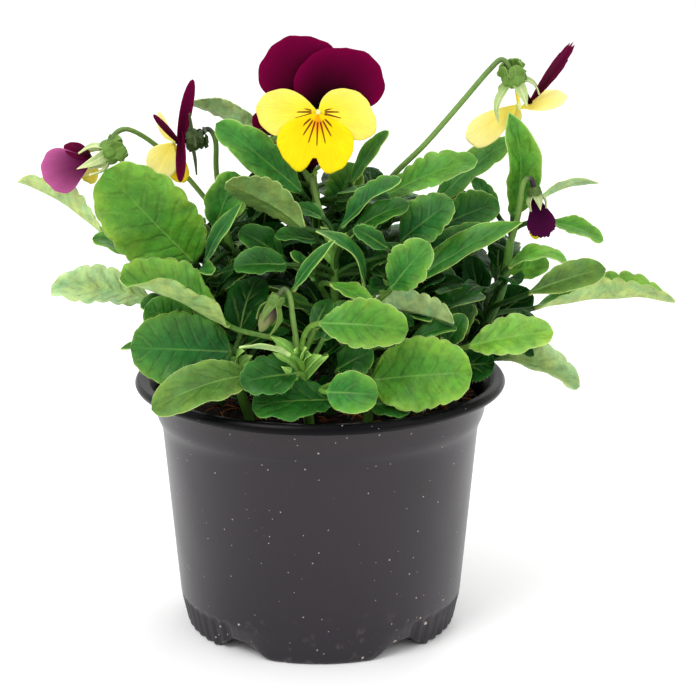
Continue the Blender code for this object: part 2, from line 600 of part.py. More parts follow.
def calyx_solid(place, opening, size, flare, turn):
    """Return a calyx as one closed solid: a five-sided body with a sepal drawn from each side.

    The sepals reach forward round the petals, and the more outward the greater the flare.
    """
    place, opening = np.array(place, float), unit(opening)
    aside = unit(np.cross(opening, (0.2, 0.3, 0.93)))
    over = np.cross(opening, aside)
    depths = np.array((-2.4, -0.9, 0.7, 1.5)) * size
    radii = np.array((1.0, 2.1, 2.0, 1.2)) * size
    corner = np.radians(72 * np.arange(5) + turn)
    spokes = np.cos(corner)[:, None] * aside + np.sin(corner)[:, None] * over
    body = place + opening * depths[:, None, None] + spokes * radii[:, None, None]
    points = [tuple(point) for point in body.reshape(-1, 3)]
    triangles = [(0, 2, 1), (0, 3, 2), (0, 4, 3), (15, 16, 17), (15, 17, 18), (15, 18, 19)]
    for side in range(5):
        after = (side + 1) % 5
        for ring in (0, 2):
            low, low_next = 5 * ring + side, 5 * ring + after
            triangles += [(low, low_next, low_next + 5), (low, low_next + 5, low + 5)]
        out = unit(spokes[side] + spokes[after])
        along = unit(spokes[after] - spokes[side])
        middle = place + (out * (3.2 + 1.6 * flare) + opening * 2.6 * (1 - flare)) * size
        end = place + (out * (3.8 + 4.2 * flare) + opening * 5.8 * (1 - flare)) * size
        lift = unit(np.cross(end - middle, along)) * 0.35
        loop = [5 + side, 5 + after, 10 + after, 10 + side]
        for centre, half in ((middle, 1.15 * size), (end, 0.45 * size)):
            first = len(points)
            points += [tuple(centre - along * half - lift), tuple(centre + along * half - lift),
                       tuple(centre + along * half + lift), tuple(centre - along * half + lift)]
            fresh = [first, first + 1, first + 2, first + 3]
            for index in range(4):
                follow = (index + 1) % 4
                triangles += [(loop[index], loop[follow], fresh[follow]),
                              (loop[index], fresh[follow], fresh[index])]
            loop = fresh
        triangles += [(loop[0], loop[1], loop[2]), (loop[0], loop[2], loop[3])]
    return np.array(points), triangles


def sliver(path, half, face, thick=0.7):
    """Return a narrow flat blade with four corners to a ring, for sepals and stipules."""
    path = np.asarray(path, float)
    tangents = unit(np.gradient(path, axis=0))
    side = unit(np.cross(tangents, np.asarray(face, float)))
    up = np.cross(side, tangents)
    half, lift = np.asarray(half, float)[:, None], 0.5 * thick
    rings = np.stack([path - side * half + up * lift, path + side * half + up * lift,
                      path + side * half - up * lift, path - side * half - up * lift], axis=1)
    return skin(rings)


def stipule_fan(origin, heading, count, length, seed):
    """Return a small cluster of narrow stipules about the top of a stem."""
    chance = random.Random(seed)
    origin, heading = np.array(origin, float), unit(heading)
    pieces = []
    for index in range(count):
        turn = 2 * math.pi * (index + 0.3 * chance.random()) / count
        out = unit(heading * 0.9 + np.array((math.cos(turn), math.sin(turn) * 0.8, 0.1)))
        reach = length * chance.uniform(0.75, 1.1)
        path = (origin, origin + out * reach * 0.5 + heading * 1.2, origin + out * reach)
        pieces.append(sliver(path, (0.8, 1.2, 0.4), np.cross(out, (0.3, 0.2, 0.9)), 0.8))
    return pieces


def pot_solid():
    """Return the pot's closed shell: lobed feet, a stepped collar and a rolled lip."""
    under = [(0.0, FLOOR_UNDER, 0), (27.5, FLOOR_UNDER, 0), (28.5, 0.0, 1), (35.3, 0.0, 1)]
    outside = [(40.2, 8.5, 0), (44.8, 60.4, 0), (46.7, 61.2, 0), (47.4, 69.0, 0), (51.9, 69.9, 0),
               (RIM_RADIUS, 71.3, 0), (51.2, RIM_HEIGHT, 0)]
    inside = [(48.6, 72.3, 0), (46.3, 69.0, 0), (45.6, 61.9, 0), (43.8, 60.1, 0),
              (39.1, 9.4, 0), (36.0, FLOOR_TOP, 0), (0.0, FLOOR_TOP, 0)]
    profile = under + outside + inside
    turn = np.arange(POT_SEGMENTS) * 2 * math.pi / POT_SEGMENTS - math.pi / 2
    period = 360.0 / FOOT_COUNT
    offset = np.abs((np.degrees(turn) + 90 + period / 2) % period - period / 2)
    lift = FOOT_LIFT * np.clip((offset - 22.0) / 10.0, 0, 1)
    rings = []
    for radius, height, footed in profile[1:-1]:
        level = np.full(POT_SEGMENTS, height) + footed * lift
        rings.append(np.stack([radius * np.cos(turn), radius * np.sin(turn), level], axis=1))
    return closed_by_poles(np.stack(rings), profile[0][1], profile[-1][1])


def closed_by_poles(rings, low_height, high_height):
    """Return the points and triangles of rings closed by a middle point at each end."""
    count, sides = rings.shape[:2]
    points = np.vstack([rings.reshape(-1, 3), (0, 0, low_height), (0, 0, high_height)])
    triangles = []
    for ring in range(count - 1):
        for side in range(sides):
            low, low_next = ring * sides + side, ring * sides + (side + 1) % sides
            triangles += [(low, low_next, low_next + sides), (low, low_next + sides, low + sides)]
    for side in range(sides):
        after = (side + 1) % sides
        last = (count - 1) * sides
        triangles += [(side, count * sides, after), (last + side, last + after, count * sides + 1)]
    return points, triangles


def soil_solid():
    """Return the soil: a plug that fills the pot, with a gently bumpy top."""
    sides = 20
    turn = np.arange(sides) * 2 * math.pi / sides
    profile = [(35.5, FLOOR_TOP + SOIL_GAP, 0), (38.5, 9.9, 0), (43.1, 59.8, 0), (44.9, 61.7, 0),
               (45.2, SOIL_LEVEL - 0.4, 0.4), (36.0, SOIL_LEVEL + 0.5, 1),
               (24.0, SOIL_LEVEL + 0.8, 1), (11.0, SOIL_LEVEL, 1)]
    rings = []
    for radius, height, bumpy in profile:
        bump = bumpy * (0.5 * np.sin(3 * turn + radius) + 0.45 * np.cos(7 * turn + 2 * radius))
        rings.append(np.stack([radius * np.cos(turn), radius * np.sin(turn), height + bump],
                              axis=1))
    return closed_by_poles(np.stack(rings), FLOOR_TOP + SOIL_GAP, SOIL_LEVEL + 0.4)


def stem_path(shoot):
    """Return the rounded centre line of a shoot's stem, upright where it is in the soil."""
    first = np.array(SHOOTS[shoot][0], float)
    foot = first.copy()
    foot[2] = STEM_FOOT
    return np.vstack([foot, smooth_path(SHOOTS[shoot], 2)])


def rooted(leaf, shoot):
    """Return the leaf with its petiole's root on the nearest fitting point of its stem."""
    path = stem_path(shoot)[2:]
    base = np.array(leaf.base, float)
    below = path[:, 2] < max(base[2] - 3.0, path[0, 2] + 1.0)
    usable = path[below] if below.any() else path[:1]
    nearest = usable[np.argmin(np.linalg.norm(usable - base, axis=1))]
    return replace(leaf, root=tuple(nearest))


class Clearance:
    """What stands already, so that a new leaf can be tested against it."""

    def __init__(self):
        self.whole = []
        self.blades = []

    def add(self, owner, points, triangles):
        """Keep a solid of a shoot, the pot, the soil or a bloom, for every later test."""
        item = boxed_tree(owner, points, triangles)
        self.whole.append(item)
        self.blades.append(item)

    def add_leaf(self, leaf, shoot):
        """Keep a placed leaf: whole for the other shoots, as its bare blade for its own."""
        self.whole.append(boxed_tree(shoot, *skin(leaf_rings(leaf))))
        self.blades.append(boxed_tree(shoot, *skin(leaf_rings(leaf, petiole=False))))

    def leaf_is_clear(self, leaf, shoot):
        """Tell whether a whole leaf clears other shoots, and its blade clears its own."""
        whole = boxed_tree(shoot, *skin(leaf_rings(leaf, spare=CLEAR)))
        others = [item for item in self.whole if item[0] != shoot]
        if meets_any(whole, others):
            return False
        blade = boxed_tree(shoot, *skin(leaf_rings(leaf, spare=OWN_CLEAR, petiole=False)[1:]))
        own = [item for item in self.blades if item[0] == shoot]
        return not meets_any(blade, own)


def boxed_tree(owner, points, triangles):
    """Return a solid's owner, its search tree and the corners of its box."""
    tree = BVHTree.FromPolygons([tuple(point) for point in points], triangles)
    return owner, tree, points.min(axis=0), points.max(axis=0)


def meets_any(item, others):
    """Tell whether a solid's surface meets that of any of the others."""
    for other in others:
        if (item[2] > other[3]).any() or (item[3] < other[2]).any():
            continue
        if item[1].overlap(other[1]):
            return True
    return False


def placed_leaf(leaf, shoot, clearance):
    """Return the leaf slid towards or away from the viewer until it clears the rest."""
    for width in NARROWER:
        for slide in SLIDES:
            move = np.array(TOWARDS_BACK) * slide
            tried = replace(leaf, base=tuple(np.array(leaf.base) + 0.7 * move),
                            tip=tuple(np.array(leaf.tip) + move), width=leaf.width * width)
            tried = rooted(tried, shoot)
            if clearance.leaf_is_clear(tried, shoot):
                if slide or width < 1:
                    print(f"{shoot} {leaf.name}: slid {slide} mm, width x {width}")
                return tried
    print(f"{shoot} {leaf.name}: left out, no clear place")
    return None


def filler_leaf(shoot, chance):
    """Return a leaf that grows from a shoot in a random fitting direction."""
    centre, spread = FILLERS[shoot][1:]
    path = stem_path(shoot)[2:]
    origin = path[chance.randrange(len(path))]
    azimuth = math.radians(centre + chance.uniform(-spread, spread))
    out = np.array((math.cos(azimuth), math.sin(azimuth), 0.0))
    rise = math.radians(chance.uniform(-10, 50))
    level = math.radians(math.degrees(rise) * 0.4 + chance.uniform(-25, 15))
    up = np.array((0.0, 0.0, 1.0))
    base = origin + (out * math.cos(rise) + up * math.sin(rise)) * chance.uniform(8, 16) + up * 2
    heading = out * math.cos(level) + up * math.sin(level)
    tip = base + heading * chance.uniform(18, 28)
    roll = np.cross(heading, up) * chance.uniform(-0.5, 0.5)
    face = up * math.cos(level) - out * math.sin(level) + roll
    return Leaf("filler", tuple(base), tuple(tip), tuple(face), chance.uniform(10, 15),
                chance.choice(("oval", "round", "spoon")), 2, chance.uniform(0.03, 0.14),
                chance.uniform(8, 26))


def filler_fits(leaf):
    """Tell whether a filler stays in the bush: not in front, above or far to a side of it."""
    for point in (leaf.base, leaf.tip):
        if not -46 < point[0] < 54 or point[1] < -12:
            return False
        if point[2] > 116 - 0.2 * point[1]:
            return False
    return True


def place_leaves(clearance):
    """Return the leaves of every shoot: the seen ones first, then fillers where there is room."""
    leaves = {shoot: [] for shoot in SHOOTS}
    for shoot, seen in LEAVES.items():
        for leaf in seen:
            placed = placed_leaf(leaf, shoot, clearance)
            if placed:
                clearance.add_leaf(placed, shoot)
                leaves[shoot].append(placed)
    chance = random.Random(FILLER_SEED)
    for shoot, (count, _, _) in FILLERS.items():
        grown = 0
        for _ in range(FILLER_TRIES):
            leaf = rooted(filler_leaf(shoot, chance), shoot)
            if filler_fits(leaf) and clearance.leaf_is_clear(leaf, shoot):
                clearance.add_leaf(leaf, shoot)
                leaves[shoot].append(leaf)
                grown += 1
            if grown == count:
                break
        print(f"{shoot}: {grown} of {count} fillers")
    return leaves


def shoot_core(shoot):
    """Return the solids of a shoot apart from its leaves: stem, stalks, calyces, stipules."""
    path = stem_path(shoot)
    pieces = [tube(path, np.linspace(STEM_RADIUS, 0.75 * STEM_RADIUS, len(path)), 5)]
    for bloom, (owner, points) in STALKS.items():
        if owner == shoot:
            place, opening, size = CALYXES[bloom][:3]
            end = np.array(place) - unit(opening) * 1.6 * size
            line = np.vstack([points[:-1], end])
            pieces.append(tube(line, STALK_RADIUS, 5))
            pieces.append(calyx_solid(*CALYXES[bloom]))
            if bloom == "bud":
                pieces.append(bud_solid(place, opening, size))
    if shoot in STIPULES:
        count, length = STIPULES[shoot]
        heading = SHOOTS[shoot][-1] - np.array(SHOOTS[shoot][-2], float)
        pieces += stipule_fan(path[-1], heading, count, length, len(shoot))
    return pieces


def bud_solid(place, opening, size):
    """Return the closed, pointed body of a bud that its sepals still hold."""
    steps = np.array((0.5, 2.5, 5.0, 8.0, 10.5)) * size
    radii = np.array((1.4, 2.4, 2.6, 1.7, 0.5)) * size
    return tube(np.array(place) + unit(opening) * steps[:, None], radii, 8)


def new_mesh_object(name, points, triangles):
    """Return an object that holds a closed solid, in metres from the origin."""
    shift = np.array((*SPREAD_CENTRE, 0.0))
    mesh = bpy.data.meshes.new(name)
    mesh.from_pydata(((np.asarray(points) - shift) * MM).tolist(), [], triangles)
    mesh.validate()
    sheet = bmesh.new()
    sheet.from_mesh(mesh)
    bmesh.ops.recalc_face_normals(sheet, faces=sheet.faces)
    sheet.to_mesh(mesh)
    sheet.free()
    thing = bpy.data.objects.new(name, mesh)
    bpy.context.scene.collection.objects.link(thing)
    return thing


def modified_mesh(thing):
    """Return the outcome of an object's modifier as a new mesh, and remove the modifier."""
    graph = bpy.context.evaluated_depsgraph_get()
    outcome = bpy.data.meshes.new_from_object(thing.evaluated_get(graph))
    thing.modifiers.clear()
    return outcome


def swap_mesh(thing, mesh):
    """Give an object another mesh and remove the one it had."""
    old_mesh = thing.data
    thing.data = mesh
    bpy.data.meshes.remove(old_mesh)


def is_sound(mesh):
    """Tell whether a mesh is closed everywhere and crosses itself nowhere."""
    sheet = bmesh.new()
    sheet.from_mesh(mesh)
    bmesh.ops.triangulate(sheet, faces=sheet.faces)
    closed = all(len(edge.link_faces) == 2 for edge in sheet.edges)
    corners = [{vertex.index for vertex in face.verts} for face in sheet.faces]
    tree = BVHTree.FromBMesh(sheet)
    crossed = any(corners[one].isdisjoint(corners[other])
                  for one, other in tree.overlap(tree) if one < other)
    sheet.free()
    return closed and not crossed


def slim(thing):
    """Rid a fused mesh of needless points, as far as it stays sound."""
    for share in SLIMMINGS:
        modifier = thing.modifiers.new("slim", "DECIMATE")
        modifier.ratio = share
        outcome = modified_mesh(thing)
        if is_sound(outcome):
            swap_mesh(thing, outcome)
            return
        bpy.data.meshes.remove(outcome)


def apply_boolean(target, pieces, operation):
    """Combine an object with loose pieces in one Boolean, then remove the pieces."""
    group = bpy.data.collections.new("operands")
    bpy.context.scene.collection.children.link(group)
    for index, (points, triangles) in enumerate(pieces):
        piece = new_mesh_object(f"operand_{index}", points, triangles)
        bpy.context.scene.collection.objects.unlink(piece)
        group.objects.link(piece)
    modifier = target.modifiers.new("combine", "BOOLEAN")
    modifier.operation = operation
    modifier.operand_type = "COLLECTION"
    modifier.collection = group
    modifier.solver = "MANIFOLD"
    swap_mesh(target, modified_mesh(target))
    for piece in list(group.objects):
        spare = piece.data
        bpy.data.objects.remove(piece)
        bpy.data.meshes.remove(spare)
    bpy.data.collections.remove(group)


def tidy_mesh(thing):
    """Split every face into triangles and drop loose scraps."""
    sheet = bmesh.new()
    sheet.from_mesh(thing.data)
    bmesh.ops.triangulate(sheet, faces=sheet.faces)
    islands, seen = [], set()
    for face in sheet.faces:
        if face in seen:
            continue
        island, waiting = [], [face]
        seen.add(face)
        while waiting:
            current = waiting.pop()
            island.append(current)
            for edge in current.edges:
                for neighbour in edge.link_faces:
                    if neighbour not in seen:
                        seen.add(neighbour)
                        waiting.append(neighbour)
        islands.append(island)
    islands.sort(key=len, reverse=True)
    for island in islands[1:]:
        print(f"{thing.name}: a scrap of {len(island)} faces dropped")
        bmesh.ops.delete(sheet, geom=island, context="FACES")
    open_edges = sum(1 for edge in sheet.edges if len(edge.link_faces) != 2)
    bmesh.ops.recalc_face_normals(sheet, faces=sheet.faces)
    thing.data.clear_geometry()
    sheet.to_mesh(thing.data)
    print(f"{thing.name}: {len(sheet.faces)} triangles, {open_edges} open edges")
    sheet.free()


def finish_node(thing, shade):
    """Give a node its own material and flat shading."""
    tidy_mesh(thing)
    material = bpy.data.materials.new(thing.name)
    material.use_nodes = True
    shader = material.node_tree.nodes["Principled BSDF"]
    shader.inputs["Base Color"].default_value = (*SHADES[shade], 1.0)
    shader.inputs["Roughness"].default_value = 0.6
    thing.data.materials.clear()
    thing.data.materials.append(material)


def build_node(name, pieces, shade):
    """Build one node from solids that overlap, fused to one body and rid of needless points."""
    thing = new_mesh_object(name, *pieces[0])
    if len(pieces) > 1:
        apply_boolean(thing, pieces[1:], "UNION")
        tidy_mesh(thing)
        slim(thing)
    finish_node(thing, shade)


def build_pot():
    """Build the pot, with a drain hole between each two feet."""
    pot = new_mesh_object("pot", *pot_solid())
    drills = []
    for index in range(FOOT_COUNT):
        angle = math.radians(-90 + (index + 0.5) * 360 / FOOT_COUNT)
        centre = (HOLE_RING * math.cos(angle), HOLE_RING * math.sin(angle))
        drills.append(tube([(*centre, 1.0), (*centre, 7.5)], HOLE_RADIUS, 8))
    apply_boolean(pot, drills, "DIFFERENCE")
    finish_node(pot, "pot")


def build_soil():
    """Build the soil, with a plain hole for each stem to stand in."""
    soil = new_mesh_object("soil", *soil_solid())
    drills = []
    for shoot in SHOOTS:
        place = SHOOTS[shoot][0][:2]
        drills.append(tube([(*place, STEM_HOLE_FLOOR), (*place, SOIL_LEVEL + 8)],
                           STEM_HOLE_RADIUS, 6))
    apply_boolean(soil, drills, "DIFFERENCE")
    finish_node(soil, "soil")


def main():
    """Build every node of the potted violet."""
    for thing in list(bpy.data.objects):
        bpy.data.objects.remove(thing)
    clearance = Clearance()
    clearance.add("pot", *pot_solid())
    clearance.add("soil", *soil_solid())
    cores = {}
    for shoot in SHOOTS:
        cores[shoot] = shoot_core(shoot)
        for piece in cores[shoot]:
            clearance.add(shoot, *piece)
    for bloom, colours in PETALS.items():
        for colour in colours:
            for solid in petal_solids(bloom, colour):
                clearance.add(bloom, *solid)
    leaves = place_leaves(clearance)
    build_pot()
    build_soil()
    for shoot, core in cores.items():
        blades = [skin(leaf_rings(leaf)) for leaf in leaves[shoot]]
        build_node(f"shoot_{shoot}", core + blades, "shoot")
    for bloom, colours in PETALS.items():
        for colour in colours:
            build_node(f"petals_{bloom}_{colour}", petal_solids(bloom, colour), colour)


main()
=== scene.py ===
"""A potted horned violet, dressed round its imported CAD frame.

Lengths are in millimetres about the pot's upright axis, with the ground at zero and the viewer on
the -Y side, as in the part's source. Where a mesh is made they are moved by SPREAD_CENTRE and turned
into metres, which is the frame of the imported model. Nothing is read but that frame.
"""

import logging
import math
import random
from dataclasses import dataclass, field, replace
from enum import Enum

import bpy
import numpy as np
from bpy.types import ID, Material, Mesh, Node, NodeSocket, NodeTree, Object
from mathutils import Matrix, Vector
from mathutils.bvhtree import BVHTree


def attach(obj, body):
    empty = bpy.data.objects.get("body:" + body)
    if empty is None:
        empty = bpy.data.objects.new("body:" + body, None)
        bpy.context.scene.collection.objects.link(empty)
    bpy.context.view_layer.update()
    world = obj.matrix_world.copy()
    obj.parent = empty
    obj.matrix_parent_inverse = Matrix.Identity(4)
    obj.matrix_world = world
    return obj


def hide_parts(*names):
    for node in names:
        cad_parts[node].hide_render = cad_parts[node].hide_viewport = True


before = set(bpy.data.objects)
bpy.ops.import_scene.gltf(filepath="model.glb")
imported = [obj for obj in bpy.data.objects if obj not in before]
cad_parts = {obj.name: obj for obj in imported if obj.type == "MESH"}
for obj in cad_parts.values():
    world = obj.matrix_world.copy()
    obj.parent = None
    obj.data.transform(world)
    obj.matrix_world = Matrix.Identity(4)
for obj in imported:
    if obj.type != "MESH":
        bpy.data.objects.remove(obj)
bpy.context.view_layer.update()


def ink(red: float, green: float, blue: float) -> tuple[float, float, float]:
    """Turn a colour given in screen values, 0 to 255, into linear light, as its power of 2.2."""
    return tuple((level / 255) ** 2.2 for level in (red, green, blue))


LOG = logging.getLogger("violet")
Grid = np.ndarray
MM = 0.001
SPREAD_CENTRE = (8.0, 12.4)

# The stems, leaves and petals, as in the part's source
STEM_FOOT = 53.0
STEM_RADIUS = 1.5
STALK_RADIUS = 0.85
PETIOLE_RADIUS = 0.72
CLAW_RADIUS = 0.55
CLAW_SEAT = 0.33
HUB_RADIUS = 0.5
SOIL_LEVEL = 64.4
CAD_TOOTH_DEPTH = 0.13
FILLER_SEED = 23

# How the leaves are looked for in the solids: slid along the line of sight, and narrower
TOWARDS_BACK = (0.0, 1.0, -0.19)
SLIDES = (0.0, -1.5, 1.5, -3.0, 3.0, -4.5, 4.5, -6.0, 6.0, -8.0, 8.0, -10.0, 10.0, -12.0, 12.0)
BASE_SLIDE = 0.7
NARROWER = (1.0, 0.88, 0.76)
NARROW_MISFIT = 0.42
FILLER_TRIES = 60
FILLER_MISFIT = 0.6

# The small leaves inside the bush
THICKET_SEED = 7
THICKET_TRIES = 26000
THICKET_LEAVES = 270

# What several shapes and effects share
RIPPLE_WAVES = 14
RIBBON_COLUMNS = 9
RIBBON_THICKNESS = 0.5
SPECK_SHAKE = (0.0006, 0.0006, 0.0006)
# Painted shade: the darker green that stems and petioles take inside the bush
STALK_SHADE_GREEN = ink(30, 64, 22)
UP = np.array((0.0, 0.0, 1.0))

# What a point says of itself where it lies on no blade or petal
NO_LAY = (0.0, 0.0, 0.0)
NO_TOUCH = (9.0, 9.0, 1.0)

# Where a blade is cut across, from its left margin to its right one
ACROSS = np.array((-1, -0.94, -0.85, -0.72, -0.56, -0.38, -0.2, -0.06,
                   0, 0.06, 0.2, 0.38, 0.56, 0.72, 0.85, 0.94, 1))
SLANT = 1.5


class Outline(Enum):
    """The outlines of leaves, as the solids have them and then as the fine blades do.

    Each has the share of its length where it is widest and how blunt its ends are in the solid, then
    the blade's own bluntness at the base and at the tip, and the depth of its scallops.
    """

    ROUND = (0.50, 0.52, 0.44, 0.40, 0.085)
    OVAL = (0.50, 0.72, 0.74, 0.42, 0.16)
    BLUNT = (0.50, 0.72, 0.80, 0.26, 0.19)
    POINTED = (0.50, 0.72, 0.62, 0.85, 0.03)
    SPOON = (0.60, 0.80, 0.95, 0.44, 0.07)
    LANCE = (0.45, 1.00, 0.90, 0.75, 0.06)


class Tone(Enum):
    """The greens of leaves: the middle of the upper face, its rim, the under face."""

    DEEP = (ink(30, 92, 36), ink(84, 134, 50), ink(104, 140, 66))
    MID = (ink(46, 110, 38), ink(104, 154, 56), ink(120, 152, 72))
    FRESH = (ink(70, 130, 36), ink(118, 166, 62), ink(158, 188, 108))
    OLIVE = (ink(74, 106, 38), ink(112, 142, 60), ink(106, 136, 66))
    PALE = (ink(142, 176, 100), ink(184, 208, 140), ink(172, 196, 130))
    BRIGHT = (ink(104, 160, 50), ink(142, 186, 84), ink(166, 194, 118))
    HOAR = (ink(172, 200, 128), ink(200, 220, 158), ink(188, 210, 148))
    # Painted shade: SHADE and DIM are darker greens for leaves inside the bush and under others
    SHADE = (ink(10, 48, 8), ink(22, 70, 16), ink(26, 60, 18))
    DIM = (ink(28, 76, 22), ink(52, 106, 36), ink(56, 90, 38))


class Hue(Enum):
    """The colours of petals, by the throat and by the edge, and the power of the share between."""

    WINE = (ink(14, 0, 6), ink(102, 0, 52), 1.8)
    PLUM = (ink(74, 6, 50), ink(176, 88, 140), 2.0)
    MAROON = (ink(40, 2, 18), ink(92, 8, 50), 1.3)
    DUSK = (ink(34, 4, 28), ink(66, 18, 54), 1.3)
    YELLOW = (ink(234, 192, 4), ink(236, 208, 24), 1.3)
    LEMON = (ink(236, 206, 34), ink(236, 218, 100), 1.3)
    CREAM = (ink(242, 218, 84), ink(246, 232, 152), 1.3)


class Whiskers(Enum):
    """The dark lines at the throat that a petal carries."""

    NONE = 0.0
    LEFT = 1.0
    RIGHT = 2.0
    LOWER = 3.0


@dataclass(frozen=True)
class Leaf:
    """One leaf: its blade from base to tip, the way its upper face looks, and its build.

    The last five change its fine blade alone: how much broader and steeper folded it is than in the
    solids, its roll about its length, its bend to a side, and how its base and tip are moved.
    """

    name: str
    base: tuple
    tip: tuple
    face: tuple
    width: float
    tone: Tone = Tone.MID
    outline: Outline = Outline.OVAL
    teeth: int = 3
    arch: float = 0.06
    fold: float = 14.0
    wave: float = 5.0
    root: tuple = (0.0, 0.0, 0.0)
    broad: float = 1.0
    steeper: float = 0.0
    roll: float = 0.0
    bend: float = 0.0
    move: tuple = ((0, 0, 0), (0, 0, 0))


@dataclass(frozen=True)
class Petal:
    """One petal, fanned out from the throat of its bloom."""

    along: tuple
    face: tuple
    length: float
    spread: float
    hue: Hue = Hue.WINE
    notch: float = 0.0
    cup: float = 0.0
    back: float = 0.0
    start: tuple = (0.0, 0.0, 0.0)
    skew: float = 0.0
    lean: float = 0.0
    bluntness: float = 0.42
    ragged: float = 0.0
    whiskers: Whiskers = Whiskers.NONE


# Short names for the tables
ROUND, OVAL, BLUNT, POINTED, SPOON, LANCE = Outline
DEEP, MID, FRESH, OLIVE, PALE, BRIGHT, HOAR, SHADE, DIM = Tone
WINE, PLUM, MAROON, DUSK, YELLOW, LEMON, CREAM = Hue

# The stem of each shoot, from the soil up
SHOOTS = {
    "front_left": ((-19, -27, 66), (-22, -30, 78), (-23, -31, 86)),
    "front_centre": ((-3, -31, 66), (-4, -35, 76), (-5, -37, 86)),
    "front_right": ((13, -25, 66), (13, -27, 80), (13, -26, 95)),
    "right_front": ((26, -18, 66), (31, -20, 74), (36, -19, 88)),
    "right": ((33, -2, 66), (42, -4, 80), (50, -6, 96), (53, -4, 112)),
    "middle_right": ((17, -8, 66), (20, -11, 84), (22, -14, 100)),
    "centre": ((3, -14, 66), (4, -14, 90), (4, -13, 114)),
    "centre_back": ((-3, 6, 66), (-1, 6, 95), (-1, 4, 124)),
    "right_back": ((14, 12, 66), (15, 10, 96), (17, 6, 125)),
    "left": ((-28, -8, 66), (-33, -10, 85), (-38, -10, 102)),
    "left_back": ((-16, 6, 66), (-22, 5, 92), (-27, 3, 117)),
    "back_left": ((-22, 24, 66), (-28, 31, 82), (-34, 38, 98)),
    "back": ((3, 31, 66), (3, 38, 84), (2, 45, 102)),
    "back_right": ((26, 22, 66), (33, 29, 82), (40, 36, 98)),
}

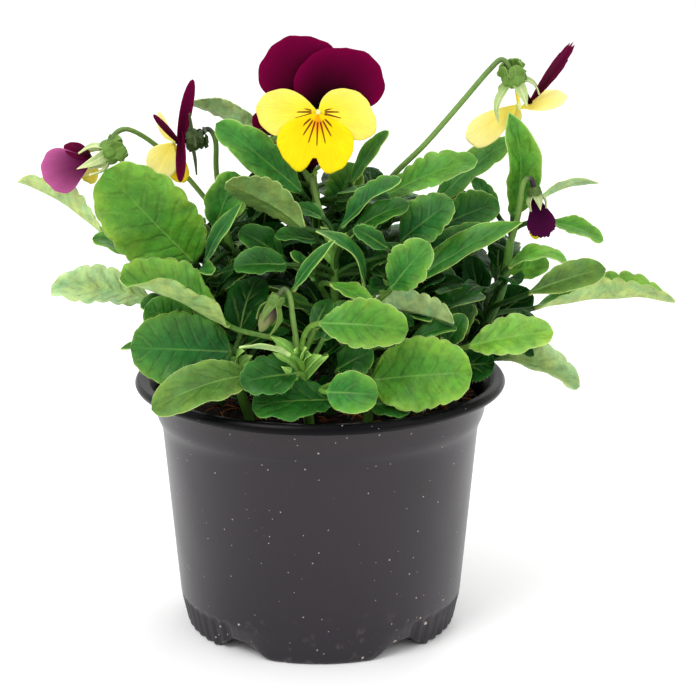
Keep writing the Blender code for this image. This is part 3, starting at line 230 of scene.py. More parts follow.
# The leaves that the viewer sees, shoot by shoot
LEAVES = {
    "front_left": (
        Leaf("big_round", (-24, -31, 87), (-50, -38, 90), (-0.1, -0.93, 0.35), 21, DEEP, ROUND, 4),
        Leaf("behind_round", (-34, -23, 90), (-47, -25, 98), (-0.2, -0.8, 0.5), 13, MID, ROUND),
        Leaf("left_speck", (-42, -12, 84), (-55, -13, 83), (0, -0.3, 0.95), 6, MID, LANCE, 2),
        Leaf("over_rim", (-18, -38, 82), (-46, -43, 70.5), (0.05, -0.72, 0.7), 14, OLIVE, ROUND,
             arch=0.14, broad=0.95, move=((0, 0, 0.5), (2, 0, 4))),
    ),
    "front_centre": (
        Leaf("folded", (-24, -32, 92), (-52, -40, 111), (0.45, -0.25, 0.85), 19, FRESH, BLUNT, 4,
             arch=0.03, fold=42, broad=1.25, roll=10, move=((0, 0, 2.5), (0, 0, -2))),
        Leaf("teal_left", (-6, -38, 83), (-21, -43, 82), (0, -0.8, 0.55), 12, DIM, OVAL, 2, broad=1.0),
        Leaf("olive_low", (4, -40, 76), (-18, -43, 75), (0, -0.55, 0.83), 11, DIM, broad=1.5),
        Leaf("pale_sliver", (-8, -42, 89), (-21, -46, 92), (0.1, 0.35, 0.93), 6, PALE, LANCE, 2),
        Leaf("light_front", (0, -42, 95), (23, -45, 96), (0, -0.84, 0.52), 13, FRESH, OVAL, 4, broad=1.12,
             move=((0, 0, 2.5), (0, 0, 0.5))),
    ),
    "front_right": (
        Leaf("small_round", (2, -46, 80), (15, -49, 80), (0, -0.9, 0.42), 12, MID, ROUND, 2),
        Leaf("big_front", (14, -35, 80), (40, -42, 84), (0.1, -0.85, 0.5), 20, FRESH, ROUND, 4,
             broad=1.06),
        Leaf("pale_back", (12, -23, 99.5), (36, -28, 97), (0, 0.5, 0.86), 11, PALE, BLUNT, 4, fold=22,
             broad=1.2, roll=-20, move=((0, 0, -1.5), (0, 0, -3))),
        Leaf("light_middle", (19, -30, 104), (29, -34, 117), (-0.3, -0.85, 0.35), 13),
        Leaf("dark_gap", (5, -31, 82), (14, -34, 88), (0, -0.8, 0.6), 8, DIM, OVAL, 2, broad=1.5),
        Leaf("low_rim", (13, -38, 74.5), (24, -41, 73.5), (0, -0.6, 0.8), 7, DIM, OVAL, 2, broad=1.5),
    ),
    "right_front": (
        Leaf("bright_right", (40, -30, 88), (62, -35, 93), (-0.1, -0.7, 0.7), 13, BRIGHT),
        Leaf("drooping", (47, -18, 83), (71, -21, 74), (0.3, -0.35, 0.88), 12, PALE, fold=24, broad=1.2,
             steeper=8, roll=8),
        Leaf("dark_round", (36, -25, 81), (47, -29, 83), (0, -0.85, 0.5), 11, SHADE, ROUND, 2),
        Leaf("dark_upright", (34, -21, 86), (39, -22, 95), (-0.1, -0.9, 0.3), 7, DEEP, OVAL, 2),
    ),
    "right": (
        Leaf("far_right", (60, -3, 93), (100, 0, 94), (0, 0.05, 1), 15, FRESH, BLUNT, 6, fold=38,
             broad=1.15, steeper=12, roll=3, move=((0, 0, -1), (0, 0, -1))),
        Leaf("spoon_right", (57, -15, 99), (78, -16, 106), (-0.2, -0.72, 0.66), 11, OLIVE, SPOON,
             broad=0.9),
        Leaf("arching_right", (52, -9, 105), (68, -10, 107), (-0.1, -0.35, 0.93), 9, BRIGHT, arch=0.2),
        Leaf("right_high", (64, 0, 116), (79, -2, 111), (0.2, -0.5, 0.85), 9, FRESH),
        Leaf("pale_pointed", (62, 10, 121), (79, 12, 125), (0, 0.5, 0.86), 8, PALE, LANCE),
        Leaf("upright", (53.5, -2.5, 118), (51.5, -5.5, 147.5), (-0.05, -0.98, 0.1), 10, FRESH, POINTED,
             arch=0.02, broad=1.3, steeper=26, roll=16, bend=0.09),
        Leaf("small_dark", (50, 6, 117), (43, 8, 127), (0.4, -0.8, 0.4), 6, DEEP, OVAL, 2),
        Leaf("small_right", (53, -2, 102), (64, -3, 105), (0, -0.8, 0.6), 8, BRIGHT, OVAL, 2),
        Leaf("inner_right", (48, 4, 86), (60, 5, 95), (0, -0.8, 0.6), 12, SHADE, OVAL, 2),
        Leaf("inner_upright", (45, 2, 92), (42, 2, 106), (0.2, -0.9, 0.3), 9, SHADE, OVAL, 2),
    ),
    "middle_right": (
        Leaf("dark_big", (22, -13, 113), (36, -16, 125), (-0.35, -0.8, 0.45), 14, DEEP),
        Leaf("long_folded", (25, -17, 102), (55, -15, 119), (-0.3, -0.5, 0.82), 11, MID, LANCE, fold=18),
        Leaf("band", (25, -8, 106), (46, -6, 116), (-0.3, -0.5, 0.82), 9, DEEP),
        Leaf("dark_behind", (34, 0, 115), (50, 2, 121), (0, -0.75, 0.65), 13, DEEP),
    ),
    "centre": (
        Leaf("olive_under", (-4, -17, 118), (-25, -20, 131), (0.35, 0.88, 0.4), 13, OLIVE, OVAL, 4,
             fold=18),
        Leaf("upper_light", (3, -29, 105), (14, -33, 100), (0.3, -0.45, 0.85), 8, FRESH),
        Leaf("rolled", (6, -12, 117), (22, -15, 131), (-0.45, -0.4, 0.8), 10, DEEP, fold=28),
        Leaf("under_rolled", (9, -17, 117), (24, -20, 125), (-0.2, -0.6, 0.77), 9, DIM),
        Leaf("curl", (18, -21, 113), (9, -23, 119), (0.2, -0.8, 0.5), 6, DIM, OVAL, 2),
        Leaf("bowed", (12, -24, 103), (-1, -26, 119), (0.7, -0.35, 0.6), 8, DEEP, LANCE, arch=0.2),
        Leaf("narrow_centre", (-7, -27, 103), (4, -29, 117), (-0.55, -0.6, 0.55), 5, DEEP, LANCE, 2),
        Leaf("cup", (-9, -23, 109), (-23, -26, 109), (0, -0.65, 0.75), 10, DIM, ROUND, 2, fold=24),
        Leaf("dark_centre", (1, -6, 103), (8, -8, 117), (0, -0.9, 0.42), 12, SHADE),
    ),
    "centre_back": (
        Leaf("long_dark", (-5, -3, 125), (-28, -8, 145), (-0.2, -0.75, 0.6), 12),
        Leaf("pale_scalloped", (-14, 8, 138), (-36, 11, 148), (0.3, 0.55, 0.75), 10, PALE, OVAL, 4,
             broad=1.2),
        Leaf("narrow_upright", (9, 0, 127), (19, -2, 142), (-0.6, -0.7, 0.4), 6, MID, OVAL, 2),
        Leaf("dark_upright_c", (4, 6, 118), (10, 4, 132), (0, -0.9, 0.42), 11),
        Leaf("inner_middle", (2, 9, 80), (6, 8, 96), (0.1, -0.9, 0.3), 14, SHADE, ROUND, 2),
        Leaf("inner_wide", (6, 8, 92), (18, 7, 104), (-0.2, -0.85, 0.4), 14, SHADE, OVAL, 2),
        Leaf("inner_left", (-6, 12, 98), (-9, 12, 113), (0.1, -0.9, 0.3), 11, SHADE, OVAL, 2),
    ),
    "right_back": (
        Leaf("broad_light", (18, -4, 124), (43, -9, 135), (-0.2, -0.6, 0.77), 13, FRESH, OVAL, 4),
        Leaf("long_back", (32, 8, 119), (55, 10, 138), (-0.4, -0.6, 0.7), 11, MID, OVAL, 2),
        Leaf("inner_a", (22, 14, 82), (34, 13, 96), (-0.2, -0.85, 0.4), 15, SHADE, ROUND, 2),
        Leaf("inner_b", (24, 12, 98), (42, 11, 107), (-0.2, -0.8, 0.5), 14, SHADE, OVAL, 2),
        Leaf("inner_c", (30, 8, 76), (46, 8, 84), (-0.1, -0.8, 0.5), 13, SHADE, OVAL, 2),
        Leaf("inner_d", (31, 10, 112), (45, 9, 121), (-0.2, -0.8, 0.5), 12, SHADE, OVAL, 2),
    ),
    "left": (
        Leaf("far_left", (-60, 0, 113), (-84, 5, 127), (0.35, 0.3, 0.88), 13, PALE, OVAL, 4, fold=34,
             broad=1.15, roll=6),
        Leaf("big_oval", (-34, -15, 108), (-57, -21, 134.5), (-0.25, -0.9, 0.35), 25, FRESH, ROUND, 5),
        Leaf("small_left", (-46, -9, 108), (-62, -12, 114), (0, -0.5, 0.87), 10, MID, OVAL, 2),
        Leaf("pale_left", (-47, -4, 95), (-75, 0, 98), (0, -0.6, 0.8), 14, HOAR, BLUNT, 4, broad=1.12,
             roll=6),
        Leaf("inner_low", (-30, 0, 78), (-46, -2, 88), (0, -0.8, 0.6), 13, SHADE, OVAL, 2),
        Leaf("inner_high", (-31, -1, 97), (-44, -1, 104), (0, -0.8, 0.6), 11, SHADE, OVAL, 2),
    ),
    "left_back": (
        Leaf("oval_back", (-29, -7, 116), (-23, -9, 132), (0.2, -0.95, 0.2), 12, MID, OVAL, 2),
        Leaf("narrow_left", (-31, -14, 108), (-21, -14, 124), (-0.6, -0.65, 0.45), 6, DEEP, LANCE, 2),
        Leaf("dark_left", (-10, -9, 108), (-22, -11, 116), (-0.2, -0.65, 0.75), 10, DIM, OVAL, 2),
        Leaf("inner_dark", (-20, 8, 86), (-32, 8, 98), (0.1, -0.9, 0.4), 15, SHADE, ROUND, 2),
        Leaf("inner_round", (-12, 9, 82), (-14, 8, 98), (0.1, -0.9, 0.3), 15, SHADE, ROUND, 2),
        Leaf("inner_top", (-16, 8, 112), (-14, 8, 127), (0.1, -0.9, 0.3), 12, SHADE, OVAL, 2),
    ),
    "back_left": (
        Leaf("inner_g", (-24, 22, 76), (-14, 18, 88), (-0.1, -0.8, 0.5), 13, SHADE, OVAL, 2),
    ),
    "back": (
        Leaf("over_soil", (8, 34, 86), (24, 36, 92), (-0.2, 0.1, 0.95), 15, SHADE, ROUND, 2),
        Leaf("over_soil_left", (-3, 33, 84), (-17, 30, 90), (0.2, 0.1, 0.95), 14, SHADE, ROUND, 2),
        Leaf("over_soil_front", (6, 26, 80), (14, 12, 84), (0, -0.3, 0.93), 13, SHADE, OVAL, 2),
    ),
    "back_right": (
        Leaf("inner_e", (36, 22, 90), (38, 18, 107), (-0.1, -0.9, 0.3), 14, SHADE, OVAL, 2),
        Leaf("inner_f", (24, 20, 76), (14, 16, 86), (0.1, -0.8, 0.5), 12, SHADE, OVAL, 2),
    ),
}

# Thin flower stalks, each from its shoot to the back of its calyx
STALKS = {
    "main": ("centre_back", ((-1, 4, 122), (-2, 2, 138), (-1, 0, 149), (-0.5, -2, 151.5),
                             (-0.3, -4.5, 149.5))),
    "left": ("left_back", ((-27, 3, 116), (-36, 9, 126), (-45, 10, 135.5), (-52.5, 4, 141.5),
                           (-56.5, 0, 140.5), (-57.5, -1, 137.5))),
    "edge": ("left_back", ((-27, 3, 116), (-28.5, 1, 130), (-28.5, -1, 139), (-30.5, -2, 142.5),
                           (-33, -3, 140.5))),
    "right": ("right_back", ((17, 6, 124), (22, 2, 130.5), (29, -1, 138), (38.5, -1, 149),
                             (46.5, -1, 158.5), (50, -1.5, 161.3), (53, -2, 159.5))),
    "half_open": ("right", ((52.8, -4, 110), (54.5, -9, 120), (55.5, -10, 128.5),
                            (57.5, -10, 130), (59, -9.5, 127))),
    "bud": ("front_centre", ((-5, -37, 84), (-7, -38, 97), (-7.8, -38.3, 103.5),
                             (-9.3, -39, 106), (-11.2, -39.5, 104.5))),
    "hidden": ("centre_back", ((-1, 4, 122), (-5, 4, 131), (-11, 3, 138.5))),
    "young": ("centre", ((4, -13, 112), (0, -5, 121), (-2, -3, 128), (-2, -3, 131))),
}

# Each calyx: where it sits, the way it opens, its size, how far its sepals flare and their turn
CALYXES = {
    "main": ((-0.3, -5.0, 149.0), (0, -1, -0.1), 1.0, 1.0, 54),
    "left": ((-58.0, -1.2, 136.0), (-0.9, -0.1, -0.4), 1.1, 0.5, 54),
    "edge": ((-33.9, -3.3, 139.8), (-1, -0.2, -0.1), 1.0, 1.0, 54),
    "right": ((54.2, -2, 156.0), (0.25, 0.3, -0.9), 1.1, 0.55, 42),
    "half_open": ((58.9, -9.3, 125.6), (0.2, -0.1, -1), 0.8, 0.5, 54),
    "bud": ((-11.8, -39.8, 102.6), (-0.45, -0.1, -0.9), 0.8, 0.0, 54),
    "hidden": ((-12, 2.8, 138.8), (-0.3, -0.1, 1), 0.8, 0.7, 54),
    "young": ((-2, -3, 131.3), (0, 0, 1), 0.6, 0.5, 54),
}

# The petals, with the throat that they fan out from
THROATS = {
    "main": (-0.3, -10.2, 148.4),
    "left": (-62.0, -1.8, 134.2),
    "edge": (-38.2, -4.2, 139.6),
    "right": (55.2, -0.8, 151.5),
    "half_open": (59.2, -9.5, 122.4),
    "hidden": (-12.8, 2.6, 142.2),
    "young": (-2.0, -3.0, 133.6),
}

PETALS = {
    "main": {
        "purple": (
            Petal((-0.43, 0.1, 0.9), (0.0, -1.0, 0.1), 21.1, 60.0, back=0.06, start=(0, 2.4, 0.2),
                  skew=0.06, lean=-0.07, bluntness=0.3),
            Petal((0.342, 0.06, 0.94), (0.0, -1.0, 0.1), 17.9, 86.0, cup=0.03, start=(0, 1.7, 0.2),
                  skew=-0.16, lean=0.53, bluntness=0.32),
        ),
        "yellow": (
            Petal((-0.995, -0.08, 0.0), (0.05, -1.0, 0.1), 16.6, 51.0, LEMON, back=0.05, bluntness=0.55,
                  whiskers=Whiskers.LEFT),
            Petal((1.0, -0.08, 0.0), (-0.05, -1.0, 0.1), 15.0, 64.0, LEMON, back=0.05, skew=-0.25,
                  lean=0.45, bluntness=0.45, whiskers=Whiskers.RIGHT),
            Petal((-0.04, -0.2, -0.98), (0.0, -0.98, 0.2), 17.1, 72.0, YELLOW, notch=0.31, back=0.05,
                  start=(0, -0.6, 0), skew=0.04, bluntness=0.3, whiskers=Whiskers.LOWER),
        ),
    },
    "left": {
        "purple": (
            Petal((-0.93, -0.2, -0.28), (0.1, 0.97, -0.2), 14.6, 40.0, PLUM, cup=0.2, bluntness=0.17),
            Petal((-0.86, 0.2, 0.42), (0.4, 0.3, -0.85), 9.0, 38.0, MAROON),
        ),
        "yellow": (
            Petal((-0.8, 0.5, -0.3), (0.4, 0.8, 0.1), 9.0, 46.0, CREAM, start=(0.8, 2.9, -0.8)),
            Petal((-0.55, 0.45, -0.7), (0.6, 0.7, 0.1), 8.5, 50.0, LEMON, start=(0.8, 2.9, -0.8)),
        ),
    },
    "edge": {
        "purple": (
            Petal((0.2, 0.05, 0.98), (-0.66, -0.75, 0.15), 19.6, 36.0, MAROON, cup=0.15,
                  start=(-0.3, 0, -2.6), bluntness=5.0),
            Petal((-0.62, -0.25, 0.74), (-0.5, -0.8, -0.5), 12.0, 46.0, MAROON, start=(0.6, 0, -1.2),
                  bluntness=5.0),
            Petal((0.02, -0.35, -0.94), (-0.66, -0.75, 0.1), 14.8, 42.0, MAROON, start=(0.4, 0, 3.4),
                  bluntness=4.0),
        ),
        "yellow": (
            Petal((-0.5, 0.3, -0.81), (-0.2, -0.95, 0.1), 12.0, 46.0, CREAM, start=(-1.8, 3.2, -0.8)),
            Petal((0.05, 0.35, -0.93), (-0.5, -0.85, 0.1), 13.0, 40.0, YELLOW, start=(-1.8, 3.2, -0.8)),
            Petal((-0.5, 0.6, 0.62), (-0.85, -0.4, -0.2), 10.0, 46.0, CREAM, start=(-1.8, 3.2, -0.6)),
        ),
    },
    "right": {
        "purple": (
            Petal((0.6, 0.05, 0.79), (0.6, -0.66, -0.46), 20.4, 31.0, MAROON, cup=0.15,
                  start=(2.6, 0.6, -1.9), bluntness=1.3, ragged=0.05),
        ),
        "yellow": (
            Petal((0.95, 0.15, 0.26), (0.1, -0.5, 0.85), 13.4, 38.0, CREAM, start=(-0.2, 0, -3.6)),
            Petal((-0.78, 0.05, -0.62), (0.1, -0.95, 0.1), 17.5, 28.0, CREAM, start=(-0.6, 0, -2.4)),
            Petal((-0.3, 0.5, -0.8), (0.1, -0.85, -0.4), 7.5, 40.0, CREAM, start=(-0.4, 0.4, -3.0)),
        ),
    },
    "half_open": {
        "purple": (
            Petal((0.25, -0.1, -0.95), (-0.2, 0.95, -0.1), 13.2, 27.0, DUSK, cup=0.3,
                  start=(-0.8, 0, 4.0), bluntness=0.14, ragged=0.03),
            Petal((0.3, 0.25, -0.92), (-0.7, 0.6, 0.0), 12.0, 34.0, DUSK, start=(0.1, 0.8, 2.0)),
        ),
        "yellow": (
            Petal((0.05, 0.1, -1.0), (0.3, 0.9, 0.1), 9.0, 24.0, YELLOW, start=(-0.2, 2.2, -1.0)),
        ),
    },
    "hidden": {
        "purple": (
            Petal((-0.6, 0.0, 0.8), (0.4, -0.9, 0.2), 8.8, 50.0, start=(0.9, 0, -2.4)),
            Petal((-0.1, 0.35, 0.93), (0.1, -0.9, 0.3), 8.0, 50.0, start=(1.0, 0.8, -2.4)),
        ),
    },
    "young": {
        "purple": (
            Petal((0.0, -0.05, 1.0), (0.0, -1.0, 0.0), 8.6, 50.0, start=(-0.7, -2.4, -2.5),
                  bluntness=0.3),
            Petal((0.15, 0.2, 0.97), (0.5, -0.85, 0.0), 6.5, 34.0, start=(0, 0.2, -1.6)),
        ),
    },
}

# The blooms whose petals stand off from the calyx, on a narrow claw of each colour
CLAWED = ("left", "edge", "right", "hidden")

# Leaves that fill the bush where the viewer sees little: how many from each shoot, and the
# direction and half spread, in degrees from +X, that they grow in
FILLERS = {
    "middle_right": (4, 60, 180),
    "centre": (4, 90, 180),
    "left": (4, 60, 150),
    "right": (3, 150, 100),
    "left_back": (4, 110, 100),
    "right_back": (4, 60, 100),
    "centre_back": (4, 90, 110),
    "back": (6, 90, 100),
    "back_left": (6, 130, 90),
    "back_right": (6, 45, 90),
}

# Small leaves that close gaps which the viewer would see through the bush, shoot by shoot
# Their SHADE green is painted shade inside the bush
GAP_LEAVES = {
    "centre_back": (
        Leaf("gap_high", (-3, 9, 118.62), (-6.5, 9, 130.62), (0, -0.95, 0.2), 9, SHADE, OVAL, 2),
        Leaf("gap_beside", (8, 8, 114.43), (13, 8, 126.43), (0, -0.95, 0.2), 9, SHADE, OVAL, 2),
    ),
    "back": (
        Leaf("gap_low", (-2, 12, 82), (-6, 12, 94), (0, -0.95, 0.2), 10, SHADE, OVAL, 2),
    ),
}

# The clusters of narrow stipules: how many blades and how long
STIPULES = {
    "front_centre": (14, 9.0),
    "front_left": (6, 7.0),
    "right_front": (6, 7.0),
    "middle_right": (6, 8.0),
    "centre": (6, 7.0),
    "left": (6, 7.0),
    "back": (6, 7.0),
}

# The looks of some calyces: how dark they and their stalk's end are, how much bigger their ears are
# than in the solids, how far their sepals flare and reach, and how pale those are
CALYX_LOOKS = {
    "left": {"bigger": 1.8, "flare": 0.08, "reach": 1.5, "longest": 1, "pale": 0.8},
    "edge": {"darkness": 0.72, "bigger": 1.8, "reach": 1.3, "place": (-35.0, -3.3, 139.8)},
    "right": {"bigger": 1.8, "flare": 0.3, "reach": 2.0, "turn": 74, "pale": 0.6,
              "place": (53.2, -2, 156.2)},
    "half_open": {"darkness": 0.5, "flare": 0.12, "reach": 1.0, "pale": 0.5},
    "bud": {"darkness": 0.25, "bigger": 1.2, "flare": 0.03, "reach": 1.7},
}

# The fans of whiskers: for which petals, how far their middle is turned, the angle between two
# whiskers and to the last one, and where they start and where the longest ends
WHISKER_FANS = (
    (Whiskers.LEFT, 0.26, 0.26, 0.52, 2.2, 6.8),
    (Whiskers.RIGHT, -0.26, 0.26, 0.52, 2.2, 6.8),
    (Whiskers.LOWER, 0.0, 0.27, 0.84, 3.0, 9.4),
)


def unit(vector: Grid | tuple) -> Grid:
    """Return a vector, or each row of vectors, at length one."""
    vector = np.asarray(vector, float)
    return vector / np.linalg.norm(vector, axis=-1, keepdims=True)


def metres(points: Grid | tuple) -> Grid:
    """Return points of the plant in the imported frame: moved by the spread's middle, in metres."""
    return (np.asarray(points, float) - (*SPREAD_CENTRE, 0.0)) * MM


def step(values: Grid, low: float, high: float) -> Grid:
    """Return a smooth step: 0 up to low, 1 from high on, 3 x^2 - 2 x^3 of the share between."""
    share = np.clip((np.asarray(values, float) - low) / (high - low), 0, 1)
    return share * share * (3 - 2 * share)


def blend(first: tuple, second: tuple, share: Grid) -> Grid:
    """Return colours between two colours, by a share for each point."""
    share = np.asarray(share, float)[..., None]
    return np.asarray(first) * (1 - share) + np.asarray(second) * share


def full_turn(count: int) -> Grid:
    """Return evenly spaced angles of a full turn, in radians."""
    return np.arange(count) * 2 * math.pi / count


def spokes(angles: Grid, aside: Grid, over: Grid) -> Grid:
    """Return the way at each angle: its cosine of one direction and its sine of the other."""
    return np.cos(angles)[:, None] * aside[..., None, :] + np.sin(angles)[:, None] * over[..., None, :]


def polar(radius: Grid | float, angle: Grid | float) -> Grid:
    """Return the level point at a radius and an angle about the pot's axis."""
    return np.stack([radius * np.cos(angle), radius * np.sin(angle)], axis=-1)


def raised(flat: Grid, height: Grid) -> Grid:
    """Return level points at their heights."""
    return np.concatenate([flat, height[..., None]], axis=-1)


def turned(first: Grid, second: Grid, angle: Grid | float) -> tuple[Grid, Grid]:
    """Return two coordinates a and b turned by an angle: a cos - b sin, and a sin + b cos."""
    cosine, sine = np.cos(angle), np.sin(angle)
    return first * cosine - second * sine, first * sine + second * cosine


def there_and_back(across: Grid) -> tuple[Grid, Grid]:
    """Return shares across a blade, over it and back beneath, and 1 above or -1 beneath for each."""
    sides = np.concatenate([np.ones(len(across)), -np.ones(len(across) - 2)])
    return np.concatenate([across, across[-2:0:-1]]), sides


def ripple(places: Grid, size: float, seed: int) -> Grid:
    """Return a smooth random height, about -1 to 1: a mean of sine waves in random directions.

    Args:
        places: The points, in millimetres, in the last axis.
        size: About how many millimetres a bump measures.
        seed: Which of the random patterns it is.

    Returns:
        One height for each point.
    """
    chance = np.random.default_rng(seed)
    directions = unit(chance.normal(size=(RIPPLE_WAVES, places.shape[-1])))
    pace = math.pi / size * chance.uniform(0.6, 1.7, RIPPLE_WAVES)
    turns = places @ (directions * pace[:, None]).T + chance.uniform(0, 2 * math.pi, RIPPLE_WAVES)
    return np.sin(turns).sum(axis=-1) * math.sqrt(2 / RIPPLE_WAVES) * 0.6


def smooth_path(points: tuple | Grid, steps: int) -> Grid:
    """Return a rounded line through points: a cubic between each two that keeps their slopes.

    Args:
        points: The points that the line passes.
        steps: How many points it has from each to the next.

    Returns:
        The points of the line, one a row.
    """
    points = np.asarray(points, float)
    ends = np.vstack([2 * points[0] - points[1], points, 2 * points[-1] - points[-2]])
    share = np.linspace(0, 1, steps, endpoint=False)[:, None]
    pieces = []
    for before, first, second, after in zip(ends, ends[1:], ends[2:], ends[3:]):
        pieces.append(0.5 * (2 * first + (second - before) * share
                             + (2 * before - 5 * first + 4 * second - after) * share ** 2
                             + (3 * first - before - 3 * second + after) * share ** 3))
    return np.vstack(pieces + [points[-1:]])


def tube(path: Grid, radii: Grid | float, sides: int) -> Grid:
    """Return the rings of a tube: circles square to the path, each with its own radius.

    Args:
        path: The middle line, one point a row.
        radii: The radius at each point, or one for all, or one for each point of each ring.
        sides: How many points a ring has.

    Returns:
        A grid of points, ring by ring.
    """
    path = np.asarray(path, float)
    tangents = unit(np.gradient(path, axis=0))
    across = unit(np.cross(tangents, (0.31, 0.95, 0.05)))
    radii = np.asarray(radii, float)
    if radii.ndim < 2:
        radii = np.broadcast_to(radii, len(path))[:, None]
    around = spokes(full_turn(sides), across, np.cross(tangents, across))
    return path[:, None] + around * radii[..., None]


def ring_faces(rows: int, sides: int) -> tuple[Grid, Grid]:
    """Return the faces of a grid of rings with a point more at each end, which come last.

    Args:
        rows: How many rings there are.
        sides: How many points a ring has.

    Returns:
        The square faces, and the triangles at the ends.
    """
    side, row = np.arange(sides), np.arange(rows - 1)[:, None] * sides
    after = np.roll(side, -1)
    quads = np.stack([row + side, row + after, row + sides + after, row + sides + side], axis=-1)
    pole, last = np.full(sides, rows * sides), (rows - 1) * sides
    triangles = np.vstack([np.stack([pole, after, side], axis=1),
                           np.stack([pole + 1, last + side, last + after], axis=1)])
    return quads.reshape(-1, 4), triangles


def sheet_faces(number: Grid) -> Grid:
    """Return the square faces of a grid of point numbers that is open all round."""
    corners = [number[:-1, :-1], number[:-1, 1:], number[1:, 1:], number[1:, :-1]]
    return np.stack(corners, axis=-1).reshape(-1, 4)


def closed_ends(grid: Grid) -> Grid:
    """Return a grid's values one a row, and after them the means of its first and last ring."""
    grid = np.asarray(grid, float)
    return np.vstack([grid.reshape(-1, 3), grid[0].mean(axis=0), grid[-1].mean(axis=0)])


def put(name: str, data: ID) -> Object:
    """Put a camera, a lamp or a mesh into the scene and return its object.

    Args:
        name: The object's name.
        data: What the object shows.

    Returns:
        The object.
    """
    thing = bpy.data.objects.new(name, data)
    bpy.context.scene.collection.objects.link(thing)
    return thing


def mesh_tree(mesh: Mesh) -> BVHTree:
    """Return a mesh as a tree that finds what is near it or crosses it."""
    return BVHTree.FromPolygons([vertex.co for vertex in mesh.vertices],
                                [face.vertices for face in mesh.polygons])


class Net:
    """The points, faces and values of one piece, gathered from closed solids.

    Each point has a colour (tint), where it lies on its blade or petal (lay) and how far in it is
    (touch): what those three numbers are is said by whoever adds it.
    """

    def __init__(self) -> None:
        """Start with no points."""
        self.points: list[Grid] = []
        self.faces: list[list[int]] = []
        self.values: dict[str, list[Grid]] = {"tint": [], "lay": [], "touch": []}
        self.count = 0

    def add(self, points: Grid, quads: Grid, triangles: Grid,
            tint: Grid | tuple, lay: Grid | tuple = NO_LAY,
            touch: Grid | tuple = NO_TOUCH) -> None:
        """Add a closed solid, its faces reversed where its volume is less than 0.

        Args:
            points: Its points, one a row, in millimetres about the pot's axis.
            quads: The four point numbers of each square face.
            triangles: The three point numbers of each triangle.
            tint: Its colour, or one for each point.
            lay: Where each point lies on its blade or petal.
            touch: How far each point is from a midrib and a margin, and on which face.
        """
        quads = np.asarray(quads, int).reshape(-1, 4)
        triangles = np.asarray(triangles, int).reshape(-1, 3)
        split = np.vstack([quads[:, :3], quads[:, [0, 2, 3]], triangles])
        corners = (points - points.mean(axis=0))[split]
        if np.einsum("ij,ij->", corners[:, 0], np.cross(corners[:, 1], corners[:, 2])) < 0:
            quads, triangles = quads[:, ::-1], triangles[:, ::-1]
        self.faces += (quads + self.count).tolist() + (triangles + self.count).tolist()
        self.points.append(points)
        for name, value in (("tint", tint), ("lay", lay), ("touch", touch)):
            self.values[name].append(np.broadcast_to(value, (len(points), 3)))
        self.count += len(points)

    def add_rings(self, rings: Grid, tint: Grid | tuple,
                  lay: Grid | tuple = NO_LAY, touch: Grid | tuple = NO_TOUCH) -> None:
        """Add a solid that is a grid of rings, closed at each end by a point in the ring's middle.

        Args:
            rings: A grid of points, ring by ring.
            tint: Its colour, or one for each ring, or one for each point of the grid.
            lay: As for add, for each point.
            touch: As for add, for each point.
        """
        if np.ndim(tint) == 2:
            tint = np.repeat(tint[:, None], rings.shape[1], axis=1)
        values = (closed_ends(value) if np.ndim(value) > 1 else value for value in (tint, lay, touch))
        self.add(closed_ends(rings), *ring_faces(*rings.shape[:2]), *values)

    def add_ribbon(self, path: Grid, face: Grid, half: Grid, fold: float,
                   tint: Grid) -> None:
        """Add a narrow blade: t across, it stands t half widths aside and |t| ^ 1.3 of the fold up.

        Args:
            path: The middle line, one point a row.
            face: The way the upper face looks.
            half: Half the width at each point of the path.
            fold: How far each half is folded up, in radians.
            tint: Its colour, or one for each point of the path.
        """
        tangents = unit(np.gradient(path, axis=0))
        side = unit(np.cross(tangents, face))
        up = np.cross(side, tangents)
        share, upper = there_and_back(np.sin(np.linspace(-0.5, 0.5, RIBBON_COLUMNS) * math.pi))
        half = half[:, None]
        above = (half * np.abs(share) ** 1.3 * math.sin(fold)
                 + 0.5 * RIBBON_THICKNESS * upper * np.sqrt(1 - share ** 4))
        rings = (path[:, None] + side[:, None] * (half * share * math.cos(fold))[..., None]
                 + up[:, None] * above[..., None])
        inner = np.abs(share) * half
        self.add_rings(rings, tint, touch=np.stack([inner, half - inner, np.ones_like(inner)], axis=-1))

    def add_sheet(self, sheet: Grid, depth: Grid, tint: Grid, lay: Grid,
                  touch: Grid) -> None:
        """Add a sheet with its thickness: a grid half its depth to each side, joined at its border.

        Args:
            sheet: The middle surface, a grid of points.
            depth: For each point, the way to the front face.
            tint: The colour of each point.
            lay: As for add, for each point.
            touch: As for add; the last number is set to 1 in front and 0 behind.
        """
        number = np.arange(sheet[..., 0].size).reshape(sheet.shape[:2])
        quads, under = sheet_faces(number), number.size
        border = np.concatenate([number[0], number[1:, -1], number[-1, -2::-1], number[-2:0:-1, 0]])
        onward = np.roll(border, -1)
        rim = np.stack([onward, border, border + under, onward + under], axis=1)
        points = np.vstack([(sheet + depth).reshape(-1, 3), (sheet - depth).reshape(-1, 3)])
        touch = np.tile(touch.reshape(-1, 3), (2, 1))
        touch[:, 2] = np.arange(len(touch)) < under
        self.add(points, np.vstack([quads, quads[:, ::-1] + under, rim]), np.empty((0, 3)),
                 np.tile(tint.reshape(-1, 3), (2, 1)), np.tile(lay.reshape(-1, 3), (2, 1)), touch)

    def add_copies(self, points: Grid, quads: Grid, triangles: Grid,
                   tints: Grid) -> None:
        """Add many small solids that share their faces.

        Args:
            points: For each solid, its points.
            quads: The square faces of one.
            triangles: The triangles of one.
            tints: The colour of each solid.
        """
        shift = (np.arange(len(points)) * points.shape[1])[:, None, None]
        self.add(points.reshape(-1, 3), quads + shift, triangles + shift,
                 np.repeat(tints, points.shape[1], axis=0))

